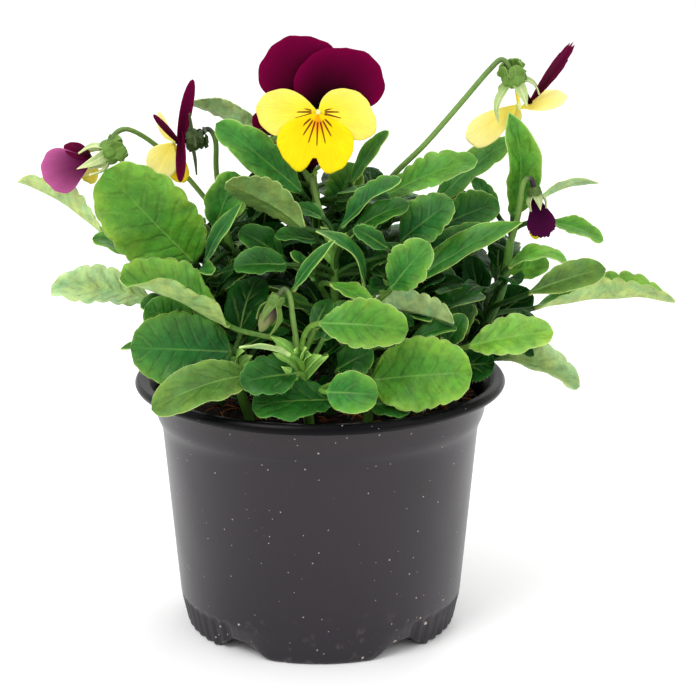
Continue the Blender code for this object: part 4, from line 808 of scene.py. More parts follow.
    def mesh(self, name: str) -> Mesh:
        """Return a mesh of all that was added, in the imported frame.

        Args:
            name: The mesh's name.

        Returns:
            The mesh.
        """
        mesh = bpy.data.meshes.new(name)
        mesh.from_pydata(metres(np.vstack(self.points)), [], self.faces)
        return mesh

    def piece(self, name: str, material: Material, node: str) -> Object:
        """Make the object of all that was added, riding on the only body.

        Args:
            name: The piece's name.
            material: Its material.
            node: The CAD node that it replaces.

        Returns:
            The object.
        """
        mesh = self.mesh(name)
        for key, values in self.values.items():
            values = np.vstack(values)
            kind, channel = "FLOAT_VECTOR", "vector"
            if key == "tint":
                kind, channel = "FLOAT_COLOR", "color"
                values = np.hstack([values, np.ones((len(values), 1))])
            layer = mesh.attributes.new(key, kind, "POINT")
            layer.data.foreach_set(channel, values.ravel().astype(np.float32))
        mesh.shade_smooth()
        mesh.materials.append(material)
        thing = put(name, mesh)
        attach(thing, "root")
        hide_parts(node)
        LOG.info("%s: %d faces in place of %s", name, len(mesh.polygons), node)
        return thing


class Graph:
    """Writes the nodes of a material or a shared effect in few words."""

    tree: NodeTree

    def add(self, kind: str, feeds: dict | None = None, **settings: object) -> Node:
        """Add a node.

        Args:
            kind: The node's type, after ShaderNode.
            feeds: A value or a wire for each input, by its name or number.
            settings: Its other properties.

        Returns:
            The node.
        """
        node = self.tree.nodes.new("ShaderNode" + kind)
        for key, value in settings.items():
            setattr(node, key, value)
        for key, value in (feeds or {}).items():
            self.feed(node.inputs[key], value)
        return node

    def feed(self, socket: NodeSocket, value: object) -> None:
        """Link a wire to an input, or set the input to a value."""
        if isinstance(value, Wire):
            self.tree.links.new(value.socket, socket)
        elif socket.type == "RGBA":
            socket.default_value = (*value, 1.0)
        else:
            socket.default_value = value

    def wire(self, kind: str, feeds: dict | None = None, output: int | str = 0,
             **settings: object) -> "Wire":
        """Add a node as add does, and return one of its outputs."""
        return Wire(self, self.add(kind, feeds, **settings).outputs[output])

    def math(self, operation: str, *values: object) -> "Wire":
        """Return the outcome of a sum on values or wires."""
        return self.wire("Math", dict(enumerate(values)), operation=operation)

    def mix(self, share: object, first: object, second: object, way: str = "MIX") -> "Wire":
        """Return a mix of two colours, by a share of the second."""
        return self.wire("Mix", {0: share, 6: first, 7: second}, 2, data_type="RGBA", blend_type=way)

    def shade(self, colour: object, level: "Wire") -> "Wire":
        """Return a colour times a level."""
        grey = self.wire("CombineColor", {0: level, 1: level, 2: level})
        return self.mix(1.0, colour, grey, "MULTIPLY")

    def noise(self, place: "Wire", scale: object, detail: float = 2.0,
              roughness: float = 0.5) -> "Wire":
        """Return a cloudy noise about a half."""
        return self.wire("TexNoise", {"Vector": place, "Scale": scale, "Detail": detail,
                                      "Roughness": roughness})


class Wire:
    """What a node puts out. Sums are written with it as with a number, and become nodes."""

    def __init__(self, graph: Graph, socket: NodeSocket) -> None:
        """Keep the graph that the output is in, and the output's socket."""
        self.graph, self.socket = graph, socket

    def __add__(self, other: object) -> "Wire":
        """Return the sum of both."""
        return self.graph.math("ADD", self, other)

    def __sub__(self, other: object) -> "Wire":
        """Return this less the other."""
        return self.graph.math("SUBTRACT", self, other)

    def __rsub__(self, other: object) -> "Wire":
        """Return the other less this."""
        return self.graph.math("SUBTRACT", other, self)

    def __mul__(self, other: object) -> "Wire":
        """Return the product of both."""
        return self.graph.math("MULTIPLY", self, other)

    def __lt__(self, other: object) -> "Wire":
        """Return 1 where this is less than the other, 0 elsewhere."""
        return self.graph.math("LESS_THAN", self, other)

    def __abs__(self) -> "Wire":
        """Return this without its sign."""
        return self.graph.math("ABSOLUTE", self)

    def larger(self, other: "Wire") -> "Wire":
        """Return the larger of both."""
        return self.graph.math("MAXIMUM", self, other)

    def equals(self, value: float) -> "Wire":
        """Return 1 where this is a whole number, 0 elsewhere."""
        return self.graph.math("COMPARE", self, value, 0.3)

    def off_whole(self) -> "Wire":
        """Return how far this is from the nearest whole number."""
        return abs(self.graph.math("FRACT", self + 0.5) - 0.5)

    def span(self, low: float, high: float, first: float = 0.0, last: float = 1.0) -> "Wire":
        """Return a smooth step of this: first at low, last at high."""
        feeds = dict(enumerate((self, low, high, first, last)))
        return self.graph.wire("MapRange", feeds, interpolation_type="SMOOTHSTEP")

    def parts(self) -> list["Wire"]:
        """Return the three numbers of this vector."""
        node = self.graph.add("SeparateXYZ", {0: self})
        return [Wire(self.graph, socket) for socket in node.outputs]


class Effect(Graph):
    """An effect that several materials use, a node group made once."""

    def __init__(self, name: str, output: str, **inputs: float) -> None:
        """Start the group.

        Args:
            name: Its name.
            output: Its output's name.
            inputs: Its inputs after Place, with their usual values.
        """
        self.tree = bpy.data.node_groups.new(name, "ShaderNodeTree")
        faces = self.tree.interface
        faces.new_socket("Place", in_out="INPUT", socket_type="NodeSocketVector")
        for key, value in inputs.items():
            socket = faces.new_socket(key, in_out="INPUT", socket_type="NodeSocketFloat")
            socket.default_value = value
        faces.new_socket(output, in_out="OUTPUT", socket_type="NodeSocketFloat")
        entry = self.tree.nodes.new("NodeGroupInput").outputs
        self.entries = [Wire(self, entry[key]) for key in ("Place", *inputs)]

    def leave(self, value: Wire) -> NodeTree:
        """Put a value out of the group, and return the group."""
        self.feed(self.tree.nodes.new("NodeGroupOutput").inputs[0], value)
        return self.tree


class Effects:
    """The shared effects."""

    def __init__(self) -> None:
        """Make each of them."""
        self.uneven = self.make_uneven()
        self.specks = self.make_specks()
        self.grain = self.make_grain()

    @staticmethod
    def make_uneven() -> NodeTree:
        """Make the slow unevenness of a colour: noise about 1, by a depth to each side."""
        group = Effect("uneven", "Share", Scale=100.0, Depth=0.1)
        place, scale, depth = group.entries
        return group.leave((group.noise(place, scale, 3.0, 0.55) * 4.0 - 2.0) * depth + 1.0)

    @staticmethod
    def make_specks() -> NodeTree:
        """Make scattered specks: small round spots in some of the cells of a random pattern."""
        group = Effect("specks", "Mask", Scale=400.0, Size=0.2, Amount=0.1)
        place, scale, size, amount = group.entries
        bent = group.wire("TexNoise", {"Vector": place, "Scale": 900.0}, "Color")
        shaken = group.wire("VectorMath", {0: bent, 1: SPECK_SHAKE}, operation="MULTIPLY")
        there = group.wire("VectorMath", {0: place, 1: shaken}, operation="ADD")
        cells = group.add("TexVoronoi", {"Vector": there, "Scale": scale}).outputs
        draw = group.add("SeparateColor", {0: Wire(group, cells["Color"])}).outputs
        reach = size * (Wire(group, draw[1]) + 0.35)
        return group.leave((Wire(group, cells["Distance"]) < reach) * (Wire(group, draw[0]) < amount))

    @staticmethod
    def make_grain() -> NodeTree:
        """Make a fine grain for bumps: small cells with a finer noise over them."""
        group = Effect("grain", "Height", Scale=1500.0)
        place, scale = group.entries
        cells = group.wire("TexVoronoi", {"Vector": place, "Scale": scale}, "Distance",
                           feature="SMOOTH_F1")
        return group.leave(cells * 0.6 + group.noise(place, scale))


class Surface(Graph):
    """The graph of one material: its points' own values, the shared effects and its shader."""

    def __init__(self, name: str, effects: Effects) -> None:
        """Make an empty material and the graph of its nodes.

        Args:
            name: The material's name.
            effects: The shared effects.
        """
        self.material = bpy.data.materials.new(name)
        self.material.use_nodes = True
        self.tree, self.effects = self.material.node_tree, effects
        self.place = self.wire("TexCoord", output="Object")

    def set(self, **values: object) -> None:
        """Set or feed the shader's inputs, named with _ for a space."""
        shader = self.tree.nodes["Principled BSDF"]
        for key, value in values.items():
            self.feed(shader.inputs[key.replace("_", " ")], value)

    def tint(self) -> Wire:
        """Return the colour of each point."""
        return self.wire("Attribute", None, "Color", attribute_name="tint", attribute_type="GEOMETRY")

    def numbers(self, name: str) -> list[Wire]:
        """Return the three numbers that each point has under a name."""
        return self.wire("Attribute", None, "Vector", attribute_name=name,
                         attribute_type="GEOMETRY").parts()

    def uneven(self, scale: float, depth: float, place: Wire | None = None) -> Wire:
        """Return the shared unevenness, where the point is or at another place."""
        feeds = {"Place": place or self.place, "Scale": scale, "Depth": depth}
        return self.wire("Group", feeds, node_tree=self.effects.uneven)

    def specks(self, scale: float, size: float, amount: object) -> Wire:
        """Return the shared specks."""
        feeds = {"Place": self.place, "Scale": scale, "Size": size, "Amount": amount}
        return self.wire("Group", feeds, node_tree=self.effects.specks)

    def grain(self, scale: float) -> Wire:
        """Return the shared grain."""
        return self.wire("Group", {"Place": self.place, "Scale": scale}, node_tree=self.effects.grain)

    def bump(self, height: Wire, strength: float, distance: float) -> Wire:
        """Return the normal that a height gives, at a strength over a distance in metres."""
        return self.wire("Bump", {"Height": height, "Strength": strength, "Distance": distance})


class Finish:
    """What a surface is made of. Each kind paints a surface in its own way."""

    name: str

    def make(self, effects: Effects) -> Material:
        """Make the material, with the shared effects.

        Args:
            effects: The shared effects.

        Returns:
            The material.
        """
        surface = Surface(self.name, effects)
        self.paint(surface)
        return surface.material


@dataclass(frozen=True)
class LeafFinish(Finish):
    """Leaves: their tints with midrib, side veins and margin, a soft sheen and a fine grain.

    lay is how far across (-1 to 1), the count of side veins and the share of the length; touch is
    the millimetres from the midrib and from the margin, and 1 on the upper face.
    """

    name: str = "leaf_green"
    roughness: float = 0.46
    rib_pale: tuple = ink(150, 190, 96)
    margin_pale: tuple = ink(190, 214, 128)
    margin_gain: tuple = (7.0, 3.0, 6.0)
    cool: tuple = (0.80, 0.96, 1.02)
    warm: tuple = (1.12, 1.04, 0.91)

    def paint(self, surface: Surface) -> None:
        """Paint veins where the count of side veins is near a whole number, and the rest about them.

        Args:
            surface: What is painted.
        """
        place, tint = surface.place, surface.tint()
        # lit is how light the tint's green is: the pale margin and the coat follow it, so both stay faint
        # on the darker greens painted for shade
        lit = tint.parts()[1].span(0.02, 0.12)
        _, count, along = surface.numbers("lay")
        inner, rim, upper = surface.numbers("touch")
        wander = surface.noise(place, 260.0)
        off_vein = count.off_whole() + (wander * 0.5 - 0.25)
        inside = rim.span(0.4, 2.5) * inner.span(0.1, 0.6)
        vein, groove = off_vein.span(0.09, 0.0) * inside, off_vein.span(0.30, 0.0) * inside
        rib = inner.span(0.40, 0.08) * along.span(1.1, 0.15)
        quick = surface.uneven(420.0, 0.24)
        level = surface.uneven(110.0, 0.20) * quick
        patch = surface.noise(place, 170.0, 4.0, 0.62)
        hue = surface.mix(patch.span(0.36, 0.64), self.cool, self.warm)
        # The colour is darkened along the vein grooves: painted shade in the creases
        colour = surface.mix(1.0, surface.shade(tint, level - groove * 0.09), hue, "MULTIPLY")
        colour = surface.mix(vein * 0.07, colour, self.rib_pale)
        colour = surface.mix(rib * 0.26, colour, self.rib_pale)
        edge = surface.mix(1.0, colour, self.margin_gain, "MULTIPLY")
        edge = surface.mix(1.0, edge, self.margin_pale, "DARKEN")
        colour = surface.mix(rim.span(0.32, 0.10) * (lit * 0.65 + 0.06), colour, edge)
        rough = quick * 0.12 + (self.roughness - 0.12) + (1.0 - upper) * 0.16
        height = surface.grain(1700.0) * 0.35 - groove * upper * 1.3
        height = patch * 5.0 + height + wander.span(0.3, 0.7) * 1.1
        surface.set(Base_Color=colour, Roughness=rough, Normal=surface.bump(height, 0.75, 0.00034),
                    Coat_Weight=lit * 0.34, Coat_Roughness=0.42, Specular_IOR_Level=0.06,
                    Subsurface_Weight=0.06, Subsurface_Scale=0.0006,
                    Subsurface_Radius=(0.4, 1.0, 0.2))


@dataclass(frozen=True)
class StemFinish(Finish):
    """Stems, stalks, calyces and stipules: ribbed, slightly downy green with darker flecks."""

    name: str = "stem_green"
    roughness: float = 0.5
    pale_gain: tuple = (1.9, 1.6, 1.8)

    def paint(self, surface: Surface) -> None:
        """Paint the tint unevenly, and paler at a midrib and a margin.

        Args:
            surface: What is painted.
        """
        inner, rim, _ = surface.numbers("touch")
        quick = surface.uneven(1300.0, 0.14)
        colour = surface.shade(surface.tint(), surface.uneven(220.0, 0.16) * quick)
        pale = surface.mix(1.0, colour, self.pale_gain, "MULTIPLY")
        colour = surface.mix(inner.span(0.3, 0.05) * 0.5, colour, pale)
        colour = surface.mix(rim.span(0.3, 0.03) * 0.5, colour, pale)
        surface.set(Base_Color=colour, Roughness=quick * 0.2 + (self.roughness - 0.2),
                    Normal=surface.bump(surface.grain(2300.0), 0.4, 0.00015),
                    Specular_IOR_Level=0.2, Subsurface_Weight=0.06, Subsurface_Scale=0.0006,
                    Subsurface_Radius=(0.4, 1.0, 0.2))


@dataclass(frozen=True)
class PetalFinish(Finish):
    """Petals: their tints with fine rays, and on yellow ones an orange eye and dark whiskers.

    lay is the angle from the petal's middle in radians, the millimetres from the throat and a
    petal's own number; touch is the kind of whiskers and the share of the way to the edge.
    """

    name: str
    velvet: float
    shine: float
    marked: bool
    whisker: tuple = ink(92, 26, 20)
    eye: tuple = ink(244, 146, 6)

    @staticmethod
    def whiskers(angle: Wire, reach: Wire, kind: Wire) -> Wire:
        """Draw the whiskers: lines of even width along rays some degrees apart, longest in the middle.

        Args:
            angle: The angle from the petal's middle, in radians.
            reach: The millimetres from the throat.
            kind: The petal's kind of whiskers.

        Returns:
            How much of a point is whisker.
        """
        found = []
        for which, turned, apart, widest, low, high in WHISKER_FANS:
            off_middle = angle + turned
            away = (off_middle * (1 / apart)).off_whole() * apart * reach
            outward = abs(off_middle) * (1 / widest)
            end = high - outward * outward * (0.42 * high)
            line = (away < reach.span(low, high, 0.27, 0.16)) * (end - reach).span(0.0, 0.8)
            line = line * reach.span(low - 0.8, low) * (abs(off_middle) < widest + 0.05)
            found.append(line * kind.equals(which.value))
        return found[0].larger(found[1]).larger(found[2])

    def paint(self, surface: Surface) -> None:
        """Paint rays, a noise drawn out along the petal, and on marked petals the eye and whiskers.

        Args:
            surface: What is painted.
        """
        angle, reach, number = surface.numbers("lay")
        kind = surface.numbers("touch")[0]
        fan = surface.wire("CombineXYZ", {0: angle * 16.0, 1: reach * 0.12, 2: number})
        rays = surface.noise(fan, 1.6, 4.0, 0.6)
        level = surface.uneven(160.0, 0.07) * (rays * 0.36 + 0.82)
        colour = surface.shade(surface.tint(), level)
        if self.marked:
            eye = reach.span(7.0, 2.8) * abs(angle).span(0.62, 0.2)
            colour = surface.mix(eye * kind.equals(Whiskers.LOWER.value) * 0.9, colour, self.eye)
            colour = surface.mix(self.whiskers(angle, reach, kind) * 0.92, colour, self.whisker)
        height = rays * 1.4 + surface.grain(2600.0) * 0.3
        surface.set(Base_Color=colour, Roughness=rays * 0.2 + 0.5,
                    Normal=surface.bump(height, 0.35, 0.0003), Specular_IOR_Level=self.shine,
                    Sheen_Weight=self.velvet, Sheen_Roughness=0.4, Subsurface_Weight=0.12,
                    Subsurface_Scale=0.0008, Subsurface_Radius=(1.0, 0.7, 0.4))


@dataclass(frozen=True)
class PotFinish(Finish):
    """The pot's plastic: near black, satin, with dust specks, and dry splashes low down."""

    name: str
    colour: tuple
    gloss: float
    dust: tuple = ink(184, 174, 160)
    roughness: float = 0.31

    def paint(self, surface: Surface) -> None:
        """Paint the plastic with upright streaks, and dust where specks or splashes are.

        Args:
            surface: What is painted.
        """
        place = surface.place
        height = place.parts()[2]
        slow = surface.uneven(38.0, 0.12)
        drawn_up = surface.wire("Mapping", {"Vector": place, "Scale": (1.0, 1.0, 0.06)})
        colour = surface.shade(self.colour, slow * surface.uneven(900.0, 0.10, drawn_up))
        few = surface.specks(460.0, 0.075, 0.7)
        many = surface.specks(560.0, 0.24, height.span(0.016, 0.001) * 0.16)
        haze = surface.uneven(320.0, 0.9).span(1.25, 1.9) * height.span(0.02, 0.0)
        dusty = few.larger(many).larger(haze * 0.12)
        rough = dusty * 0.4 + (slow * 0.14 + (self.roughness - 0.14))
        bumps = surface.noise(place, 45.0, 1.0) * 3.0 + surface.grain(1100.0) * 0.16
        surface.set(Base_Color=surface.mix(dusty * 0.8, colour, self.dust), Roughness=rough,
                    Normal=surface.bump(bumps, 0.22, 0.0005), Specular_IOR_Level=self.gloss,
                    Specular_Tint=(1.0, 0.92, 0.86))


@dataclass(frozen=True)
class SoilFinish(Finish):
    """Peat, bark and fibres: crumbly, rough and dark, each bit by its own tint."""

    name: str
    rise: float
    crumb: float

    def paint(self, surface: Surface) -> None:
        """Paint the tint unevenly, in large and in small crumbs.

        Args:
            surface: What is painted.
        """
        quick = surface.uneven(self.crumb, 0.4)
        surface.set(Base_Color=surface.shade(surface.tint(), surface.uneven(260.0, 0.35) * quick),
                    Roughness=quick * 0.1 + 0.78, Specular_IOR_Level=0.25,
                    Normal=surface.bump(surface.grain(self.crumb), self.rise, 0.0008))


@dataclass(frozen=True)
class FloorFinish(Finish):
    """The pale studio floor: matt, with a very faint unevenness."""

    name: str = "floor_pale"
    colour: tuple = (0.97, 0.97, 0.97)

    def paint(self, surface: Surface) -> None:
        """Paint the colour, very slightly uneven."""
        surface.set(Base_Color=surface.shade(self.colour, surface.uneven(6.0, 0.004)),
                    Roughness=0.9, Specular_IOR_Level=0.1)


def all_finishes(effects: Effects) -> dict[str, Material]:
    """Make the materials of the plant and its pot, by name, with the shared effects."""
    finishes = (LeafFinish(), StemFinish(), PetalFinish("petal_purple", 0.0, 0.02, False),
                PetalFinish("petal_yellow", 0.03, 0.06, True),
                # The lip's black is darker than the wall's: painted shade on the upturned lip under the
                # leaves
                PotFinish("pot_black", ink(20, 17, 31), 0.52), PotFinish("pot_lip_shaded", ink(7, 8, 14), 0.1),
                SoilFinish("peat", 0.9, 1100.0), SoilFinish("bark", 0.6, 2400.0))
    return {finish.name: finish.make(effects) for finish in finishes}


@dataclass(frozen=True)
class Viewpoint:
    """The camera, where the photograph was taken from."""

    place: tuple = (0.0, -573.0, 229.58)
    pitch: float = 0.2555
    yaw: float = 0.0138
    lens: float = 108.41

    def set_up(self) -> None:
        """Make the camera and let the scene look through it."""
        camera = bpy.data.cameras.new("camera")
        camera.lens, camera.sensor_width = self.lens, 36.0
        camera.clip_start, camera.clip_end = 0.01, 50.0
        thing = put("camera", camera)
        thing.location = metres(self.place)
        thing.rotation_euler = (math.pi / 2 - self.pitch, 0.0, -self.yaw)
        bpy.context.scene.camera = thing


@dataclass(frozen=True)
class Studio:
    """A plain pale floor and soft light all round, with three large lamps."""

    sky: float = 1.02
    reach: float = 6.0
    aim: tuple = (0.0, 0.0, 0.08)
    lamps: tuple = (
        ("key", (-0.55, -0.75, 1.05), 0.55, 7.0),
        ("fill", (0.8, -0.55, 0.5), 0.7, 1.6),
        ("rear", (0.25, 0.8, 0.9), 0.6, 4.0),
    )

    def set_up(self, effects: Effects) -> None:
        """Make the sky, the lamps and the floor, and show colours as they are.

        Args:
            effects: The shared effects, for the floor.
        """
        scene = bpy.context.scene
        scene.view_settings.view_transform = "Standard"
        world = bpy.data.worlds.new("studio")
        world.use_nodes = True
        sky = world.node_tree.nodes["Background"].inputs
        sky["Color"].default_value = (1, 1, 1, 1)
        sky["Strength"].default_value = self.sky
        scene.world = world
        for name, place, size, power in self.lamps:
            lamp = bpy.data.lights.new(name, "AREA")
            lamp.energy, lamp.size = power, size
            thing = put(name, lamp)
            thing.location = place
            way = Vector(self.aim) - thing.location
            thing.rotation_euler = way.to_track_quat("-Z", "Y").to_euler()
        corners = np.array(((-1, -1, 0), (1, -1, 0), (1, 1, 0), (-1, 1, 0)), float) * self.reach
        mesh = bpy.data.meshes.new("floor")
        mesh.from_pydata(corners, [], [(0, 1, 2, 3)])
        mesh.materials.append(FloorFinish().make(effects))
        put("floor", mesh)


@dataclass(frozen=True)
class BladeLine:
    """The middle line of a blade, its two directions and the folds of its halves, at some shares."""

    middle: Grid
    side: Grid
    up: Grid
    left: Grid
    right: Grid

    def at(self, half: Grid, across: float) -> Grid:
        """Return the line at a share across: so many half widths aside, and up by the fold.

        Args:
            half: Half of the width at each cut, in mm.
            across: Where across the blade, -1 to 1.

        Returns:
            The line's points, in mm.
        """
        fold = self.left if across < 0 else self.right
        aside, rise = half * across * np.cos(fold), half * abs(across) * np.sin(fold)
        return self.middle + self.side * aside[:, None] + self.up * rise[:, None]


def blade_line(leaf: Leaf, share: Grid) -> BladeLine:
    """Return the middle line of a blade: straight from base to tip, arched up by 4 s (1 - s).

    The halves are folded up by the root of sin(pi s), and swing against each other in two waves.

    Args:
        leaf: The leaf.
        share: The shares of its length.

    Returns:
        The line, with a row for each share.
    """
    base, tip = np.array(leaf.base, float), np.array(leaf.tip, float)
    length, forward = np.linalg.norm(tip - base), unit(tip - base)
    side = unit(np.cross(forward, leaf.face))
    up = np.cross(side, forward)
    bow = (length * 4 * share * (1 - share))[:, None]
    middle = base + forward * (share * length)[:, None] + (up * leaf.arch + side * leaf.bend) * bow
    slope = unit(forward + up * (leaf.arch * 4 * (1 - 2 * share))[:, None])
    sides = np.broadcast_to(side, slope.shape)
    swing = np.radians(leaf.wave) * np.sin(4 * math.pi * share + leaf.width)
    fold = np.radians(leaf.fold) * np.sin(math.pi * np.clip(share, 0.02, 0.98)) ** 0.5
    return BladeLine(middle, sides, np.cross(sides, slope), fold + swing, fold - 0.7 * swing)


def fine_form(leaf: Leaf) -> Leaf:
    """Return the leaf as its fine blade has it: broader, folded more and rolled about its length.

    Args:
        leaf: The leaf.

    Returns:
        The fine leaf.
    """
    forward, face = unit(np.subtract(leaf.tip, leaf.base)), np.array(leaf.face, float)
    turn = math.radians(leaf.roll)
    rolled = face * math.cos(turn) + np.cross(forward, face) * math.sin(turn)
    return replace(leaf, width=leaf.width * leaf.broad, fold=leaf.fold + leaf.steeper,
                   face=tuple(rolled), base=tuple(np.add(leaf.base, leaf.move[0])),
                   tip=tuple(np.add(leaf.tip, leaf.move[1])))


def body_width(leaf: Leaf, share: Grid) -> Grid:
    """Return a blade's half width without its scallops: a quarter sine up, a quarter cosine down.

    Args:
        leaf: The leaf.
        share: How far along the blade, 0 at its base and 1 at its tip.

    Returns:
        The half widths, in mm.
    """
    widest, _, low, high, _ = leaf.outline.value
    share = np.clip(share, 0, 1)
    rise = np.sin(math.pi / 2 * np.minimum(share / widest, 1)) ** low
    fall = np.cos(math.pi / 2 * np.clip((share - widest) / (1 - widest), 0, 1)) ** high
    return 0.5 * leaf.width * rise * fall


def blade_trace(leaf: Leaf) -> Grid:
    """Return points on the middle surface of a leaf's plain CAD blade, five across at each cut.

    Args:
        leaf: The leaf.

    Returns:
        The points, in mm.
    """
    share = 0.15 + 0.8 * np.arange(1, 2 * leaf.teeth) / (2 * leaf.teeth)
    line = blade_line(replace(leaf, bend=0.0), share)
    place = (share - 0.15) / 0.8 * leaf.teeth
    scallop = 1 - CAD_TOOTH_DEPTH * (1 - np.sqrt(np.abs(np.sin(math.pi * place))))
    widest, bluntness = leaf.outline.value[:2]
    arch = np.sin(math.pi * share ** (math.log(0.5) / math.log(widest)))
    half = np.maximum(0.5 * leaf.width * arch ** bluntness * scallop, 0.1)
    return np.array([line.at(half, across) for across in (-1.0, -0.5, 0.0, 0.5, 1.0)])


def stem_path(shoot: str) -> Grid:
    """Return the rounded centre line of a shoot's stem, upright where it is in the soil.

    Args:
        shoot: The shoot's name.

    Returns:
        The path, in mm.
    """
    foot = np.array(SHOOTS[shoot][0], float)
    foot[2] = STEM_FOOT
    return np.vstack([foot, smooth_path(SHOOTS[shoot], 2)])


def rooted(leaf: Leaf, shoot: str) -> Leaf:
    """Return the leaf with its petiole's root on the nearest fitting point of its stem.

    Args:
        leaf: The leaf.
        shoot: The shoot's name.

    Returns:
        The leaf with its root.
    """
    path = stem_path(shoot)[2:]
    base = np.array(leaf.base, float)
    below = path[:, 2] < max(base[2] - 3.0, path[0, 2] + 1.0)
    usable = path[below] if below.any() else path[:1]
    nearest = usable[np.argmin(np.linalg.norm(usable - base, axis=1))]
    return replace(leaf, root=tuple(nearest))


def filler_leaf(shoot: str, chance: random.Random) -> Leaf:
    """Return a leaf that grows from a shoot in a random fitting direction.

    Args:
        shoot: The shoot's name.
        chance: The random numbers.

    Returns:
        The leaf, without its root.
    """
    centre, spread = FILLERS[shoot][1:]
    path = stem_path(shoot)[2:]
    origin = path[chance.randrange(len(path))]
    azimuth = math.radians(centre + chance.uniform(-spread, spread))
    out = np.array((math.cos(azimuth), math.sin(azimuth), 0.0))
    rise = math.radians(chance.uniform(-10, 50))
    level = math.radians(math.degrees(rise) * 0.4 + chance.uniform(-25, 15))
    base = origin + (out * math.cos(rise) + UP * math.sin(rise)) * chance.uniform(8, 16) + UP * 2
    heading = out * math.cos(level) + UP * math.sin(level)
    tip = base + heading * chance.uniform(18, 28)
    roll = np.cross(heading, UP) * chance.uniform(-0.5, 0.5)
    face = UP * math.cos(level) - out * math.sin(level) + roll
    return Leaf("filler", tuple(base), tuple(tip), tuple(face), chance.uniform(10, 15), MID,
                chance.choice((OVAL, ROUND, SPOON)), 2,
                chance.uniform(0.03, 0.14), chance.uniform(8, 26))


def filler_fits(leaf: Leaf) -> bool:
    """Tell whether a filler stays in the bush: not in front, above or far to a side of it."""
    for point in (leaf.base, leaf.tip):
        if not -46 < point[0] < 54 or point[1] < -12:
            return False
        if point[2] > 116 - 0.2 * point[1]:
            return False
    return True


def thicket_fits(leaf: Leaf) -> bool:
    """Tell whether a small leaf stays inside the bush, and above the peat inside the rim.

    Args:
        leaf: The leaf.

    Returns:
        Whether it does.
    """
    for point in (leaf.base, leaf.tip):
        x, y, z = point
        if not -50 < x < 58 or not -34 < y < 46:
            return False
        if z > min(133 - 0.15 * y - 0.5 * max(0, abs(x) - 12), 96 + 1.4 * (y + 34)):
            return False
        if z < 67.5 or (z < 78 and math.hypot(x, y) > 41):
            return False
    return True


def blade_tree(leaf: Leaf) -> BVHTree:
    """Return the plain sheet of a leaf's blade and the outer part of its petiole, to test for room.

    Args:
        leaf: The leaf.

    Returns:
        The sheet's tree.
    """
    share = np.linspace(0, 1, 7)
    line = blade_line(leaf, share)
    half = np.maximum(body_width(leaf, share), 0.8)
    rows = np.stack([line.at(half, -1), line.middle, line.at(half, 1)], axis=1)
    root, base = np.array(leaf.root), np.array(leaf.base)
    start = root + unit(base - root) * 2.6
    foot = np.stack([start - line.side[0], start, start + line.side[0]])[None]
    grid = np.concatenate([foot, rows])
    faces = sheet_faces(np.arange(len(grid) * 3).reshape(-1, 3))
    return BVHTree.FromPolygons([Vector(point) for point in metres(grid.reshape(-1, 3))],
                                faces.tolist())


